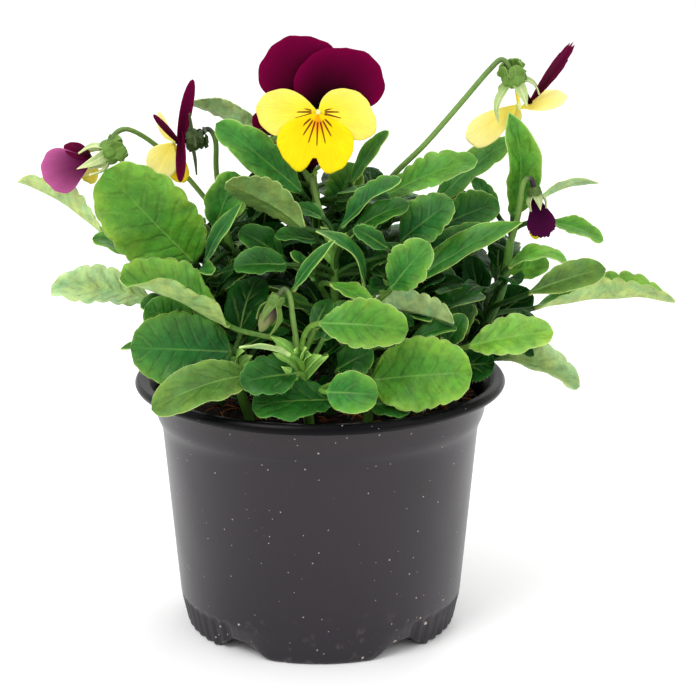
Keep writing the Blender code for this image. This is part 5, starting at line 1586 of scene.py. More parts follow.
@dataclass
class Foliage:
    """Every leaf of the plant, shoot by shoot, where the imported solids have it."""

    solids: dict[str, BVHTree] = field(default_factory=dict)
    leaves: dict[str, list[Leaf]] = field(default_factory=dict)
    small: dict[str, list[Leaf]] = field(default_factory=dict)
    grown: list[BVHTree] = field(default_factory=list)

    def misfit(self, leaf: Leaf, shoot: str) -> float:
        """Return the mean distance of a leaf's middle surface from its shoot's solid, in millimetres.

        Args:
            leaf: The leaf.
            shoot: The shoot's name.

        Returns:
            The mean distance.
        """
        solid = self.solids[f"shoot_{shoot}"]
        points = metres(blade_trace(leaf).reshape(-1, 3))
        return float(np.mean([solid.find_nearest(Vector(point))[3] for point in points])) / MM

    def grow(self, leaf: Leaf, shoot: str) -> bool:
        """Let a small leaf grow, if it touches neither the solids nor another, and tell whether.

        Args:
            leaf: The leaf.
            shoot: The shoot's name.

        Returns:
            Whether it grew.
        """
        tree = blade_tree(leaf)
        if any(tree.overlap(other) for other in [*self.solids.values(), *self.grown]):
            return False
        self.grown.append(tree)
        self.small[shoot].append(leaf)
        return True

    def find_places(self) -> None:
        """Find each leaf in its shoot's solid: the seen ones slid as they were, then the fillers."""
        self.solids = {name: mesh_tree(thing.data) for name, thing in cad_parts.items()
                       if thing.data is not None}
        self.small = {shoot: [] for shoot in SHOOTS}
        self.leaves = {shoot: [self.find_slide(leaf, shoot) for leaf in LEAVES.get(shoot, ())]
                       for shoot in SHOOTS}
        chance = random.Random(FILLER_SEED)
        for shoot, (count, _, _) in FILLERS.items():
            grown = 0
            for _ in range(FILLER_TRIES):
                leaf = rooted(filler_leaf(shoot, chance), shoot)
                if filler_fits(leaf) and self.misfit(leaf, shoot) < FILLER_MISFIT:
                    # Fillers take tones in turn; SHADE and DIM among them are darker greens painted for
                    # shade
                    tone = (DEEP, SHADE, DIM, MID)[(grown + count) % 4]
                    self.leaves[shoot].append(replace(leaf, name=f"filler_{grown}", tone=tone))
                    grown += 1
                if grown == count:
                    break
            LOG.info("%s: %d of %d fillers found", shoot, grown, count)

    def thicken(self) -> None:
        """Grow the small leaves that fill the bush: each where it touches neither solids nor others."""
        for shoot, leaves in GAP_LEAVES.items():
            for leaf in leaves:
                self.grow(rooted(leaf, shoot), shoot)
        chance = random.Random(THICKET_SEED)
        shoots = sorted(SHOOTS)
        for _ in range(THICKET_TRIES):
            shoot = chance.choice(shoots)
            leaf = self.small_leaf(shoot, chance)
            if not thicket_fits(leaf) or not self.grow(leaf, shoot):
                continue
            # Mostly SHADE and DIM: darker greens, painted shade inside the bush
            tone = chance.choice((SHADE, SHADE, SHADE, DIM, DEEP))
            self.small[shoot][-1] = replace(leaf, name=f"small_{len(self.grown)}", tone=tone)
            if len(self.grown) == THICKET_LEAVES:
                break
        LOG.info("%d small leaves", len(self.grown))

    @staticmethod
    def small_leaf(shoot: str, chance: random.Random) -> Leaf:
        """Return a small leaf that grows from a shoot in a random direction.

        Args:
            shoot: The shoot's name.
            chance: The random numbers.

        Returns:
            The leaf with its root on the stem.
        """
        path = smooth_path(stem_path(shoot)[2:], 3)
        root = path[chance.randrange(len(path))]
        azimuth, rise = chance.uniform(0, 2 * math.pi), math.radians(chance.uniform(5, 65))
        out = np.array((math.cos(azimuth), math.sin(azimuth), 0.0))
        base = root + (out * math.cos(rise) + UP * math.sin(rise)) * chance.uniform(5, 14)
        level = rise * 0.7 + math.radians(chance.uniform(-30, 15))
        heading = out * math.cos(level) + UP * math.sin(level)
        face = UP * math.cos(level) - out * math.sin(level) + np.array((0.0, -0.5, 0.0))
        length = chance.uniform(8, 19)
        return Leaf("small", tuple(base), tuple(base + heading * length), tuple(face),
                    length * chance.uniform(0.5, 0.75), MID, chance.choice((OVAL, ROUND, SPOON)), 2,
                    chance.uniform(0.03, 0.16), chance.uniform(8, 30), root=tuple(root))

    def find_slide(self, leaf: Leaf, shoot: str) -> Leaf:
        """Return a leaf as its solid stands: slid towards the viewer or away, and maybe narrower.

        Args:
            leaf: The leaf as it is in the table.
            shoot: Its shoot.

        Returns:
            The slid leaf that lies closest to the shoot's solid.
        """
        tried = []
        for width in NARROWER:
            for slide in SLIDES:
                move = np.array(TOWARDS_BACK) * slide
                moved = replace(leaf, base=tuple(np.array(leaf.base) + BASE_SLIDE * move),
                                tip=tuple(np.array(leaf.tip) + move), width=leaf.width * width)
                tried.append((self.misfit(moved, shoot), len(tried), moved))
            if min(tried)[0] < NARROW_MISFIT:
                break
        return rooted(min(tried)[2], shoot)

    def dress(self, finishes: dict[str, Material]) -> None:
        """Make the leaves of each shoot as one piece.

        Args:
            finishes: The materials, by name.
        """
        for shoot, leaves in self.leaves.items():
            net = Net()
            for leaf in leaves:
                BladeMaker(fine_form(leaf), shoot).add_to(net)
            for leaf in self.small[shoot]:
                BladeMaker(leaf, shoot, 6, 4, hairs=10, columns=2).add_to(net)
            if net.count:
                net.piece(f"leaves_{shoot}", finishes["leaf_green"], f"shoot_{shoot}")


@dataclass
class BladeMaker:
    """Builds one leaf as a closed skin: its petiole and its blade, with quilting and scallops."""

    leaf: Leaf
    shoot: str
    petiole_rows: int = 14
    rows_a_scallop: int = 8
    thickness: float = 0.42
    rib_depth: float = 0.55
    hairs: int = 36
    columns: int = 1
    hair_foot: float = 0.035
    hair_pale: tuple = ink(190, 206, 150)
    petiole_green: tuple = ink(104, 146, 58)

    def petiole(self) -> Grid:
        """Return the petiole's middle line: a curve that leaves the stem upwards and joins the blade."""
        leaf = self.leaf
        base, root = np.array(leaf.base, float), np.array(leaf.root, float)
        forward = unit(np.array(leaf.tip, float) - base)
        up = np.cross(unit(np.cross(forward, leaf.face)), forward)
        reach = np.linalg.norm(base - root)
        leaving = unit(forward + 4 * leaf.arch * up)
        climb = np.array((0, 0, 0.35)) * reach
        bend = np.linspace(0, 1, self.petiole_rows, endpoint=False)[:, None]
        return ((1 - bend) ** 3 * root + 3 * (1 - bend) ** 2 * bend * (root + climb)
                + 3 * (1 - bend) * bend ** 2 * (base - leaving * 0.35 * reach) + bend ** 3 * base)

    def add_to(self, net: Net) -> None:
        """Add the leaf: rings across it, flat in the blade and round in the petiole.

        A point at share t across stands t half widths aside and |t| ^ 1.25 of the fold up. The blade
        swells between its side veins, its margin waves with its scallops, and its midrib stands
        proud beneath as a bell curve.

        Args:
            net: The piece.
        """
        leaf = self.leaf
        chance = random.Random(f"{self.shoot} {leaf.name}")
        scallops = round(leaf.teeth * 1.15) + 1
        share = np.linspace(0, 1, self.rows_a_scallop * scallops + 10)
        line = blade_line(leaf, share)
        stalk = self.petiole()
        pad = len(stalk)
        middle = np.vstack([stalk, line.middle])
        slope = unit(np.gradient(middle, axis=0))
        side = unit(line.side[0] - slope * (slope @ line.side[0])[:, None])
        up = np.cross(side, slope)
        left = np.concatenate([np.zeros(pad), line.left * step(share, 0, 0.12)])
        right = np.concatenate([np.zeros(pad), line.right * step(share, 0, 0.12)])
        share = np.concatenate([np.full(pad, -0.01), share])
        blade = share >= 0
        warp = 0.3 * np.sin(5.5 * share + chance.uniform(0, 6))
        place = (share - 0.1) / 0.87 * scallops + warp
        depth = leaf.outline.value[4] * chance.uniform(0.8, 1.25)
        lobes = 1 - depth * (1 - np.abs(np.sin(math.pi * place)) ** 0.45) * blade
        flesh = np.where(blade, np.exp(-(np.clip(share, 0, 1) / 0.07) ** 2), 1.0)
        half = np.maximum(body_width(leaf, share) * lobes * blade,
                          PETIOLE_RADIUS * np.where(blade, 1 - 0.85 * share, 1.0))
        half = np.where(share > 0.97, half * (1 - 0.75 * (share - 0.97) / 0.03), half)
        across, upper = there_and_back(ACROSS[::self.columns])
        turn = np.where(across < 0, left[:, None], right[:, None])
        lean = np.tanh(5 * across)
        aside, rise = half[:, None] * across * np.cos(turn), half[:, None] * np.abs(across) ** 1.25
        sheet = (middle[:, None] + side[:, None] * aside[..., None]
                 + up[:, None] * (rise * np.sin(turn))[..., None])
        normal = unit(up[:, None] * np.cos(turn)[..., None]
                      - side[:, None] * (lean * np.sin(turn))[..., None])
        count = place[:, None] - SLANT * np.abs(across) ** 0.85
        inner = np.abs(across) * half[:, None]
        swell = np.abs(np.sin(math.pi * count)) ** 0.8 - 0.5
        window = (1 - across ** 4) * np.clip(np.abs(across) * 3, 0, 1) * (blade * (1 - flesh))[:, None]
        lift = 0.0055 * leaf.width * swell * window
        lift = lift + 0.13 * ripple(sheet, 3.4, chance.randrange(999)) * window
        ruffle = np.sin(2 * math.pi * place + chance.uniform(0, 6))[:, None] * np.abs(across) ** 5
        lift = lift + 0.010 * leaf.width * ruffle * (blade * step(1 - share, 0, 0.2))[:, None]
        lift = lift + 0.25 * ripple(sheet, 9.0, chance.randrange(999)) * (1 - flesh)[:, None]
        thick = self.thickness + (2 * PETIOLE_RADIUS - self.thickness) * flesh
        power = (2 + 4 * np.clip(share / 0.1, 0, 1))[:, None]
        body = 0.5 * thick[:, None] * np.sqrt(1 - np.abs(across) ** power)
        bell = np.exp(-(inner / 0.5) ** 2) * (blade * (1 - flesh) * (1 - 0.8 * share))[:, None]
        skin = upper * body - bell * np.where(upper > 0, 0.12, self.rib_depth)
        rings = sheet + normal * (lift + skin)[..., None]
        rim = np.where(blade[:, None], (1 - np.abs(across)) * half[:, None], 9.0)
        inner = np.where(share[:, None] > 0.02, inner, 9.0)
        lay = np.stack(np.broadcast_arrays(across, count, share[:, None]), axis=-1)
        touch = np.stack(np.broadcast_arrays(inner, rim, upper > 0), axis=-1)
        net.add_rings(rings, self.tints(share, across, upper, chance), lay, touch)
        self.add_hairs(net, rings, pad, chance)

    def add_hairs(self, net: Net, rings: Grid, pad: int, chance: random.Random) -> None:
        """Add fine hairs on the margins: thin spikes with three sides that point out and any way.

        Args:
            net: The piece.
            rings: The leaf's grid of points.
            pad: How many of the rings are the petiole's.
            chance: The leaf's own random numbers.
        """
        draw = np.random.default_rng(chance.randrange(9999))
        row = draw.integers(pad // 2, len(rings) - 2, self.hairs)
        margin = draw.choice((0, rings.shape[1] // 2), self.hairs)
        foot, middle = rings[row, margin], rings[row].mean(axis=1)
        out = unit(unit(foot - middle) + draw.normal(0, 0.45, foot.shape))
        aside = unit(np.cross(out, (0.2, 0.3, 0.93)))
        base = (foot - 0.1 * out)[:, None] + self.hair_foot * spokes(
            full_turn(3), aside, np.cross(out, aside))
        tip = foot + out * draw.uniform(0.3, 1.1, self.hairs)[:, None]
        net.add_copies(np.concatenate([base, tip[:, None]], axis=1), np.empty((0, 4), int),
                       np.array([(0, 2, 1), (0, 1, 3), (1, 2, 3), (2, 0, 3)]),
                       np.broadcast_to(self.hair_pale, (self.hairs, 3)))

    def tints(self, share: Grid, across: Grid, upper: Grid,
              chance: random.Random) -> Grid:
        """Return the colour of each point, from the leaf's tone: paler out, greyer beneath.

        Args:
            share: The share of the blade's length of each ring.
            across: The share across of each point of a ring.
            upper: 1 for a ring's points on the upper face, -1 for those beneath.
            chance: The leaf's own random numbers.

        Returns:
            A grid of colours.
        """
        centre, rim, under = (np.array(colour) for colour in self.leaf.tone.value)
        out = np.clip(np.abs(across) ** 2.4 * 0.9 + 0.5 * (share[:, None] - 0.5), 0, 1)
        colour = blend(centre, rim, out)
        colour = np.where((upper > 0)[None, :, None], colour, under)
        stalk = step(-share, -0.05, 0.0)[:, None, None]
        # Painted shade: the petioles of leaves further back take the darker stalk green
        inside = step(np.array(self.leaf.base)[1], -40.0, -20.0) * 0.9
        colour = colour * (1 - stalk) + blend(self.petiole_green, STALK_SHADE_GREEN, inside) * stalk
        shade = 1 + chance.uniform(-0.1, 0.1)
        warmth = np.array((1 + chance.uniform(-0.12, 0.12), 1.0, 1 + chance.uniform(-0.1, 0.1)))
        return np.clip(colour * shade * warmth, 0, 1)


@dataclass(frozen=True)
class Calyx:
    """The green cup behind a bloom: a lumpy body, five sepals and their ears behind."""

    place: tuple
    opening: tuple
    size: float
    flare: float
    turn: float
    green: tuple = ink(104, 140, 62)
    dark: tuple = ink(30, 30, 28)
    darkness: float = 0.0
    bigger: float = 1.0
    reach: float = 1.0
    longest: int = 0
    pale: float = 0.0
    cream: tuple = ink(196, 212, 150)

    def axes(self) -> tuple[Grid, Grid, Grid]:
        """Return the way it opens and two directions square to it."""
        opening = unit(self.opening)
        aside = unit(np.cross(opening, (0.2, 0.3, 0.93)))
        return opening, aside, np.cross(opening, aside)

    def add_to(self, net: Net) -> None:
        """Add the body, a turned shape with ten lumps round it, and for each side a sepal and an ear.

        Args:
            net: The piece.
        """
        opening, aside, over = self.axes()
        place = np.array(self.place, float)
        depths = np.linspace(-2.6, 1.6, 16) * self.size
        bulge = np.sqrt(np.clip(1 - ((depths / self.size + 0.2) / 2.6) ** 2, 0, 1)) * 2.1 + 0.15
        bulge = bulge * self.bigger ** 0.5
        path = place + opening * depths[:, None]
        turn = full_turn(30)
        radii = self.size * bulge[:, None] * (1 + 0.10 * np.sin(10 * turn) * (bulge > 1)[:, None])
        net.add_rings(path[:, None] + spokes(turn, aside, over) * radii[..., None], self.tone(0.3))
        corners = spokes(np.radians(72 * np.arange(5) + self.turn), aside, over)
        for index in range(5):
            self.add_sepal(net, unit(corners[index] + corners[(index + 1) % 5]), index)

    def tone(self, share: float) -> Grid:
        """Return the calyx's colour, darkened by its own darkness and by a share."""
        return blend(self.green, self.dark, np.clip(self.darkness + 0.15 * share, 0, 1))

    def add_sepal(self, net: Net, out: Grid, index: int) -> None:
        """Add a sepal, a lance-shaped blade on a curve, and its ear, a short one to the back.

        Args:
            net: The piece.
            out: The way this sepal leaves the calyx.
            index: Which of the five it is.
        """
        size, flare, place, opening = self.size, self.flare, np.array(self.place), unit(self.opening)
        far = 1 + (self.reach - 1) * (1.0 if index == self.longest else 0.35)
        middle = place + (out * (2.6 + 2.0 * flare) + opening * 2.8 * (1 - flare)) * size * far
        end = place + (out * (2.2 + 5.6 * flare) + opening * 6.6 * (1 - flare)) * size * far
        share = np.linspace(0, 1, 22)
        root = place + out * 1.2 * size + opening * 0.2 * size
        line = smooth_path((root, middle, end), 11)[:22]
        along = unit(end - root)
        face = unit(out * (1 - flare) - opening * flare + 0.001 * along)
        half = size * (1.2 + 0.5 * np.sin(math.pi * share ** 0.8)) * (1 - share ** 2.2) + 0.06
        tint = blend(self.tone(0.0), self.tone(1.0), share * 0.5 + 0.1 * index)
        tint = tint + (np.array(self.cream) - tint) * (self.pale * step(share, 0.0, 0.4))[:, None]
        net.add_ribbon(line, face, half, 0.35, tint)
        share = np.linspace(0, 1, 12)
        back = unit(out * 0.55 - opening)
        size = size * self.bigger
        ear = root + np.outer(share, back) * 2.9 * size - np.outer(share ** 2, out) * 0.9 * size
        rounding = np.sqrt(np.clip(1 - (share * 1.9 - 0.95) ** 2, 0.02, 1))
        half = size * (1.4 + 0.2 * np.sin(14 * share)) * rounding
        net.add_ribbon(ear, face, half, 0.3, self.tone(0.3 + 0.1 * index))


@dataclass
class Stems:
    """A shoot's stem with its flower stalks, calyces, bud and stipules."""

    shoot: str
    green: tuple = ink(92, 136, 54)
    stalk_green: tuple = ink(108, 140, 70)
    dusk: tuple = ink(52, 40, 52)
    bud_foot: tuple = ink(78, 44, 62)
    bud_tip: tuple = ink(126, 134, 84)
    stipule_foot: tuple = ink(110, 165, 70)
    stipule_tip: tuple = ink(140, 185, 90)

    def dress(self, finishes: dict[str, Material]) -> None:
        """Make the stem's piece.

        Args:
            finishes: The materials, by name.
        """
        net = Net()
        path = smooth_path(stem_path(self.shoot), 5)
        radii = np.linspace(STEM_RADIUS, 0.75 * STEM_RADIUS, len(path))
        ribs = 1 + 0.07 * np.cos(5 * full_turn(15))
        # Painted shade: the stem takes the darker green low down and behind the front of the bush
        inside = step(path[:, 2], 118.0, 80.0) * step(path[:, 1], -40.0, -15.0)
        tint = blend(self.green, STALK_SHADE_GREEN, 0.9 * inside)
        net.add_rings(tube(path, radii[:, None] * ribs, 15), tint)
        for bloom, (owner, _) in STALKS.items():
            if owner == self.shoot:
                self.add_stalk(net, bloom)
        if self.shoot in STIPULES:
            self.add_stipules(net)
        net.piece(f"stems_{self.shoot}", finishes["stem_green"], f"shoot_{self.shoot}")

    def add_stalk(self, net: Net, bloom: str) -> None:
        """Add a bloom's stalk, a ribbed tube that darkens towards some blooms, and its calyx.

        Args:
            net: The stem's piece.
            bloom: The bloom's name.
        """
        calyx = replace(Calyx(*CALYXES[bloom]), **CALYX_LOOKS.get(bloom, {}))
        end = np.array(calyx.place) - unit(calyx.opening) * 1.6 * calyx.size
        path = smooth_path(np.vstack([STALKS[bloom][1][:-1], end]), 9)
        share = np.linspace(0, 1, len(path))
        ribs = 1 + 0.08 * np.cos(4 * full_turn(12))
        radii = STALK_RADIUS * (0.92 - 0.15 * share + 0.5 * step(share, 0.95, 1.0))
        tint = blend(self.stalk_green, self.dusk,
                     step(share, 0.5, 0.8) * min(1.0, 0.25 + calyx.darkness * 1.6))
        net.add_rings(tube(path, radii[:, None] * ribs, 12), tint)
        calyx.add_to(net)
        if bloom == "bud":
            self.add_bud(net, calyx)

    def add_bud(self, net: Net, calyx: Calyx) -> None:
        """Add the rolled petals of a closed bud: a turned shape with a spiral of low folds.

        Args:
            net: The piece.
            calyx: The calyx.
        """
        depths = np.linspace(0.2, 11.0, 26)
        radii = np.interp(depths, (0.2, 2.5, 5.5, 8.6, 10.4, 11.0), (1.6, 2.6, 2.7, 1.8, 0.7, 0.1))
        path = np.array(calyx.place) + unit(calyx.opening) * depths[:, None] * calyx.size
        folds = 1 + 0.07 * np.sin(3 * full_turn(24)[None] + depths[:, None] * 0.7)
        tint = blend(self.bud_foot, self.bud_tip, step(depths, 1.0, 9.0))
        net.add_rings(tube(path, radii[:, None] * calyx.size * folds, 24), tint)

    def add_stipules(self, net: Net) -> None:
        """Add the narrow stipules about the stem's top: bent blades that widen by a sine.

        Args:
            net: The stem's piece.
        """
        count, length = STIPULES[self.shoot]
        chance = random.Random(len(self.shoot))
        origin = stem_path(self.shoot)[-1]
        heading = unit(np.array(SHOOTS[self.shoot][-1], float) - SHOOTS[self.shoot][-2])
        for index in range(count):
            turn = 2 * math.pi * (index + 0.3 * chance.random()) / count
            out = unit(heading * 0.9 + np.array((math.cos(turn), math.sin(turn) * 0.8, 0.1)))
            reach = length * chance.uniform(0.6, 1.35)
            foot = origin - heading * chance.uniform(0, 9)
            line = smooth_path((foot, foot + out * reach * 0.5 + heading * 1.2,
                                foot + out * reach), 8)
            share = np.linspace(0, 1, len(line))
            half = 1.45 * np.sin(math.pi * (0.12 + 0.86 * share)) ** 1.2 + 0.06
            tint = blend(self.stipule_foot, self.stipule_tip, share)
            net.add_ribbon(line, np.cross(out, (0.3, 0.2, 0.9)), half, 0.3, tint)


@dataclass
class Bloom:
    """The petals of one bloom, a piece for each colour."""

    name: str
    rays: int = 48
    rows: int = 22
    thickness: float = 0.42
    notch_at: float = 2.5
    notch_width: float = 7.0
    throat_pale: tuple = ink(222, 226, 150)

    def dress(self, finishes: dict[str, Material]) -> None:
        """Make the piece of each colour.

        Args:
            finishes: The materials, by name.
        """
        for colour, petals in PETALS[self.name].items():
            net = Net()
            for index, petal in enumerate(petals):
                self.add_petal(net, petal, index)
            tint = petals[0].hue.value[0]
            if len(petals) > 1 or self.name in CLAWED:
                net.add_rings(self.throat(petals), tint if colour == "purple" else self.throat_pale)
            if self.name in CLAWED:
                net.add_rings(self.claw(colour), tint)
            kind, node = f"petal_{colour}", f"petals_{self.name}_{colour}"
            net.piece(f"{node}_fine", finishes[kind], node)

    def add_petal(self, net: Net, petal: Petal, index: int) -> None:
        """Add a petal: a fan of rays, as long as its rounded outline reaches, cupped and ruffled.

        A ray at angle a reaches length * cos(a / spread * 90 degrees) ^ bluntness, more to one side
        by the lean and less at the notch, and the spread differs to each side by the skew. The
        surface is lifted by the cup times the square of how far across it is, lowered by the square
        of how far out, and waved near its edge.

        Args:
            net: The piece of the petal's colour.
            petal: The petal.
            index: Which of its colour it is.
        """
        chance = random.Random(f"{self.name} {index} {petal.length}")
        along = unit(petal.along)
        side = unit(np.cross(along, petal.face))
        face = np.cross(side, along)
        across = np.sin(np.linspace(-0.5, 0.5, self.rays + 1) * math.pi)
        spread = math.radians(petal.spread) * (1 + petal.skew * np.sign(across))
        angles = spread * 0.97 * across
        rounding = (np.cos(0.97 * across * math.pi / 2) ** petal.bluntness
                    * (1 + petal.lean * across))
        dip = 1 - petal.notch * np.exp(-((np.degrees(angles) - self.notch_at) / self.notch_width) ** 2)
        frill = 1 + 0.012 * np.sin(9 * angles + chance.uniform(0, 6)) + 0.008 * np.sin(23 * angles)
        frill = frill - petal.ragged * np.abs(np.sin(31 * angles) + np.sin(67 * angles))
        reach = petal.length * rounding * dip * frill
        share = np.linspace(0, 1, self.rows + 1)[:, None] ** 0.85
        radius = HUB_RADIUS + (reach - HUB_RADIUS) * share
        ray = along * np.cos(angles)[:, None] + side * np.sin(angles)[:, None]
        aside, onward = radius * np.sin(angles) / petal.length, radius * np.cos(angles) / petal.length
        lift = petal.length * (petal.cup * aside ** 2 - petal.back * onward ** 2)
        wave = np.sin(5 * angles + chance.uniform(0, 6)) * share ** 3 * 0.03 * petal.length
        crease = -0.028 * petal.length * np.exp(-(angles / 0.10) ** 2) * share * (1 - 0.6 * share)
        sheet = (np.array(THROATS[self.name]) + petal.start + ray * radius[..., None]
                 + face * (lift + wave * 0.7 + crease)[..., None])
        edge = np.sqrt(np.clip(1 - share ** 10, 0.02, 1)) * np.sqrt(1 - 0.96 * across ** 10)
        depth = face * (0.5 * self.thickness * edge)[..., None]
        inner, outer, power = petal.hue.value
        tint = blend(inner, outer, np.broadcast_to(share ** power, radius.shape))
        lay = np.stack(np.broadcast_arrays(angles, radius, float(index)), axis=-1)
        touch = np.stack(np.broadcast_arrays(petal.whiskers.value, share, 1.0 + 0 * angles), axis=-1)
        net.add_sheet(sheet, depth, tint, lay, touch)

    def middle(self, petals: tuple[Petal, ...]) -> Grid:
        """Return the middle of the places where petals start."""
        return np.array(THROATS[self.name]) + np.mean([petal.start for petal in petals], axis=0)

    def throat(self, petals: tuple[Petal, ...]) -> Grid:
        """Return the rings of the short body that petals of one colour grow from.

        Args:
            petals: The petals of one colour.

        Returns:
            The rings, in mm.
        """
        opening = unit(CALYXES[self.name][1])
        depths = np.array([petal.start for petal in petals], float) @ opening
        reach = HUB_RADIUS * max(0.0, np.mean([unit(petal.along) @ opening for petal in petals]))
        middle = self.middle(petals)
        low = middle + opening * (depths.min() - depths.mean() - 0.5)
        high = middle + opening * (depths.max() - depths.mean() + 0.5 + reach)
        share = np.linspace(0, 1, 8)[:, None]
        round_off = np.sqrt(1 - 0.7 * (2 * share[:, 0] - 1) ** 6)
        return tube(low + (high - low) * share, (HUB_RADIUS + 0.2) * round_off, 18)

    def claw(self, colour: str) -> Grid:
        """Return the rings of the claw that carries the petals of one colour from the calyx.

        Args:
            colour: Which petals it carries.

        Returns:
            A grid of points, ring by ring.
        """
        place, opening, size = CALYXES[self.name][:3]
        opening = unit(opening)
        middle = self.middle(PETALS[self.name][colour])
        foot = np.array(place) + opening * (1.5 * size + CLAW_SEAT)
        for other, petals in PETALS[self.name].items():
            if other != colour:
                apart = middle - self.middle(petals)
                foot = foot + unit(apart - opening * (apart @ opening)) * 0.95
        return tube(smooth_path((foot, foot + opening * 0.6, middle), 4), CLAW_RADIUS, 12)


@dataclass
class Pot:
    """The nursery pot: a thin turned shell with a stepped collar, a rolled lip and lobed feet."""

    rim_height: float = 72.65
    lip_foot: float = 69.3
    rim_radius: float = 52.5
    segments: int = 240
    feet: int = 5
    foot_lift: float = 4.0
    floor_under: float = 4.2
    floor_top: float = 5.8
    hole_ring: float = 32.0
    hole_radius: float = 2.8
    drilled: tuple = (1.0, 7.5)
    plain: tuple = (0.02, 0.02, 0.02)
    fillet_steps: int = 5
    row_gap: float = 2.2
    rib_depth: float = 1.1
    ribs_around: int = 60

    def profile(self) -> Grid:
        """Return the shell's section: radius, height, how much a foot lifts it and its rounding."""
        under = [(0.0, self.floor_under, 0, 0), (27.5, self.floor_under, 0, 0.8),
                 (28.7, 0.0, 1, 0.6), (38.4, 0.0, 1, 1.2)]
        outside = [(40.4, 9.0, 0, 1.6), (44.9, 59.0, 0, 2.4), (46.5, 62.2, 0, 1.7),
                   (47.4, 69.0, 0, 0.9), (51.6, 69.8, 0, 0.6), (self.rim_radius, 71.2, 0, 0.7),
                   (51.6, self.rim_height, 0, 0.5)]
        inside = [(48.6, 72.3, 0, 1.2), (46.3, 69.0, 0, 1.0), (45.6, 61.9, 0, 0.8),
                  (43.8, 60.1, 0, 0.8), (39.1, 9.4, 0, 1.5), (36.0, self.floor_top, 0, 1.2),
                  (0.0, self.floor_top, 0, 0)]
        return np.array(under + outside + inside, float)

    def rounded_profile(self) -> Grid:
        """Return the section with each corner rounded by a curve, and rows close together.

        Returns:
            Rows of radius, height and lift.
        """
        rows = self.profile()
        line = [rows[0, :3]]
        bend = np.linspace(0, 1, self.fillet_steps)[:, None]
        for before, corner, after in zip(rows, rows[1:], rows[2:]):
            reach = corner[3]
            ways = []
            for other in (before, after):
                length = np.linalg.norm(other[:2] - corner[:2])
                ways.append(corner[:3] + (other[:3] - corner[:3]) * min(0.45, reach / length))
            line += list((1 - bend) ** 2 * ways[0] + 2 * bend * (1 - bend) * corner[:3]
                         + bend ** 2 * ways[1])
        line = np.array(line + [rows[-1, :3]])
        filled = [line[:1]]
        for first, second in zip(line, line[1:]):
            count = max(1, math.ceil(np.linalg.norm(second[:2] - first[:2]) / self.row_gap))
            filled.append(first + (second - first) * np.linspace(0, 1, count + 1)[1:, None])
        return np.vstack(filled)

    def rings(self) -> Grid:
        """Return the shell's rings: the section turned round, lifted between the feet, with ribs.

        The lift between two feet is a straight ramp with smooth ends. The ribs are a cosine round
        the lower corner, at the flanks of the side feet.

        Returns:
            A grid of points, ring by ring.
        """
        rows = self.rounded_profile()[1:-1]
        turn = full_turn(self.segments) - math.pi / 2
        period = 360.0 / self.feet
        offset = np.abs((np.degrees(turn) + 90 + period / 2) % period - period / 2)
        lift = self.foot_lift * step(offset, 21.0, 33.0)
        height = rows[:, 1:2] + rows[:, 2:3] * lift
        front = np.abs((np.degrees(turn) + 90 + 180) % 360 - 180)
        ribbed = step(front, 36, 40)
        outer = step(rows[:, 0], 34.0, 35.5) * (np.arange(len(rows)) < len(rows) // 2)
        zone = (step(rows[:, 1], 9.6, 8.6) * outer)[:, None] * ribbed
        radius = rows[:, 0:1] - self.rib_depth * zone * (0.5 + 0.5 * np.cos(self.ribs_around * turn))
        radius = radius + 0.10 * np.sin(3 * turn + 0.8) * step(rows[:, 1:2], 20, 70)
        return raised(polar(radius, turn), height)

    def dress(self, finishes: dict[str, Material]) -> None:
        """Make the pot, cut its drain holes and give its lip a less glossy black, painted darker for
        shade.

        Args:
            finishes: The materials, by name.
        """
        net = Net()
        net.add_rings(self.rings(), self.plain)
        pot = net.piece("pot_fine", finishes["pot_black"], "pot")
        drills = Net()
        for index in range(self.feet):
            centre = polar(self.hole_ring, math.radians(-90 + (index + 0.5) * 360 / self.feet))
            ends = [(*centre, height) for height in self.drilled]
            drills.add_rings(tube(ends, self.hole_radius, 28), self.plain)
        drill = put("drills", drills.mesh("drills"))
        cut = pot.modifiers.new("holes", "BOOLEAN")
        cut.operation, cut.solver, cut.object = "DIFFERENCE", "MANIFOLD", drill
        outcome = bpy.data.meshes.new_from_object(
            pot.evaluated_get(bpy.context.evaluated_depsgraph_get()))
        pot.modifiers.clear()
        pot.data = outcome
        bpy.data.objects.remove(drill)
        outcome.materials.clear()
        outcome.materials.append(finishes["pot_black"])
        outcome.materials.append(finishes["pot_lip_shaded"])
        middles = np.empty(3 * len(outcome.polygons), np.float32)
        outcome.polygons.foreach_get("center", middles)
        # Faces above the lip's foot take the lip's darker black, painted shade
        of_lip = middles[2::3] > self.lip_foot * MM
        outcome.polygons.foreach_set("material_index", of_lip.astype(np.int32))


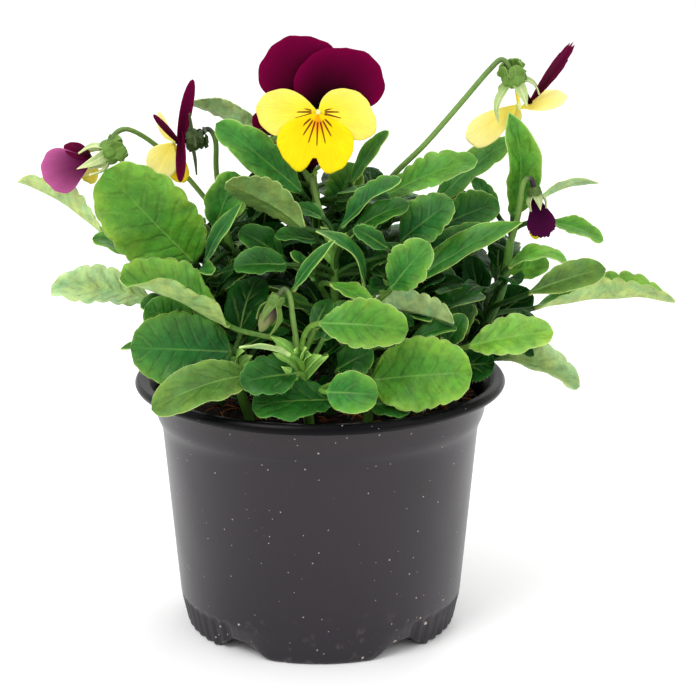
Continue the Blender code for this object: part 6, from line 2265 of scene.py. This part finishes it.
@dataclass
class Soil:
    """The peat in the pot, with bark bits and fibres lying on it."""

    level: float = SOIL_LEVEL
    sides: int = 180
    chips: int = 420
    fibres: int = 260
    peat: tuple = ink(36, 26, 20)
    bark: tuple = ink(120, 66, 32)
    fibre: tuple = ink(196, 118, 60)

    def top(self, places: Grid) -> Grid:
        """Return the height of the peat: coarse and fine ripples about its level.

        Args:
            places: Points on the ground, x and y in the last axis.

        Returns:
            One height for each.
        """
        return (self.level + 0.45 + 0.55 * ripple(places, 9.0, 5) + 0.35 * ripple(places, 3.0, 6)
                + 0.18 * ripple(places, 1.3, 7))

    def dress(self, finishes: dict[str, Material]) -> None:
        """Make the plug of peat, then the loose bits.

        Args:
            finishes: The materials, by name.
        """
        wall = [(34.0, 6.3), (38.5, 9.9), (43.0, 59.0), (43.2, 60.0), (44.8, 61.8), (45.1, 63.2)]
        radii = np.concatenate([[row[0] for row in wall], np.linspace(45.0, 0.6, 60)])
        flat = polar(radii[:, None], full_turn(self.sides))
        height = self.top(flat)
        height[:len(wall)] = np.array([row[1] for row in wall])[:, None]
        net = Net()
        net.add_rings(raised(flat, height), self.peat)
        net.piece("peat", finishes["peat"], "soil")
        loose = Net()
        self.add_chips(loose)
        self.add_fibres(loose)
        loose.piece("bark_bits", finishes["bark"], "soil")

    def scatter(self, chance: np.random.Generator, count: int) -> Grid:
        """Return places on the peat, a third of them near the front rim.

        Args:
            chance: The source of random numbers.
            count: How many places.

        Returns:
            The places, in mm.
        """
        angle = chance.uniform(0, 2 * math.pi, count)
        near = chance.random(count) < 0.35
        angle[near] = -math.pi / 2 + chance.normal(0, 0.35, near.sum()) - 0.15
        radius = 43.8 * np.sqrt(chance.random(count))
        radius[near] = chance.uniform(36, 44, near.sum())
        return polar(radius, angle)

    def add_chips(self, net: Net) -> None:
        """Add bark chips: small five-sided spindles, flattened, stretched and turned at random.

        Args:
            net: The piece.
        """
        chance = np.random.default_rng(31)
        flat = self.scatter(chance, self.chips)
        turn = full_turn(5)
        grid = np.array([[(x, r * math.cos(a + x), r * math.sin(a + x) * 0.45) for a in turn]
                         for x, r in ((-0.5, 0.22), (-0.15, 0.5), (0.25, 0.42), (0.5, 0.15))])
        body = np.vstack([grid.reshape(-1, 3), (-0.5, 0, 0), (0.5, 0, 0)])
        size = chance.uniform(0.8, 3.4, self.chips)
        yaw, tilt = chance.uniform(0, 2 * math.pi, self.chips), chance.normal(0, 0.25, self.chips)
        shape = body * np.stack([size * 1.4, size, size * 0.8], axis=1)[:, None]
        shape = shape + chance.normal(0, 0.06, shape.shape) * size[:, None, None]
        x, z = turned(shape[..., 0], shape[..., 2], tilt[:, None])
        x, y = turned(x, shape[..., 1], yaw[:, None])
        points = np.stack([x, y, z], axis=-1) + raised(flat, self.top(flat) + 0.15)[:, None]
        quads, triangles = ring_faces(4, 5)
        share = chance.random(self.chips) ** 2
        net.add_copies(points, np.roll(quads, -1, axis=1), triangles, blend(self.peat, self.bark, share))

    def add_fibres(self, net: Net) -> None:
        """Add fibres: thin bent threads that lie on the peat, each a tube along a wavy line.

        Args:
            net: The piece.
        """
        chance = np.random.default_rng(32)
        for place in self.scatter(chance, self.fibres):
            heading = chance.uniform(0, 2 * math.pi)
            length = chance.uniform(2.5, 9.0)
            share = np.linspace(-0.5, 0.5, 6)
            bend = chance.uniform(-0.25, 0.25) * length * (share ** 2 * 4 - 1)
            flat = np.stack(turned(share * length, bend, heading), axis=1) + place
            flat *= np.minimum(1, 44.2 / np.linalg.norm(flat, axis=1))[:, None]
            lift = 0.35 + chance.uniform(0, 0.9) * (1 - 4 * share ** 2)
            rings = tube(raised(flat, self.top(flat) + lift), 0.13 * (1 - 1.4 * share ** 2), 5)
            net.add_rings(rings, blend(self.peat, self.fibre, chance.random()))


def main() -> None:
    """Build the studio, the pot with its soil, the leafy shoots and the blooms."""
    logging.basicConfig(level=logging.INFO, format="%(message)s")
    Viewpoint().set_up()
    effects = Effects()
    Studio().set_up(effects)
    finishes = all_finishes(effects)
    Pot().dress(finishes)
    Soil().dress(finishes)
    foliage = Foliage()
    foliage.find_places()
    foliage.thicken()
    foliage.dress(finishes)
    for shoot in SHOOTS:
        Stems(shoot).dress(finishes)
    for bloom in PETALS:
        Bloom(bloom).dress(finishes)


if __name__ == "__main__":
    main()
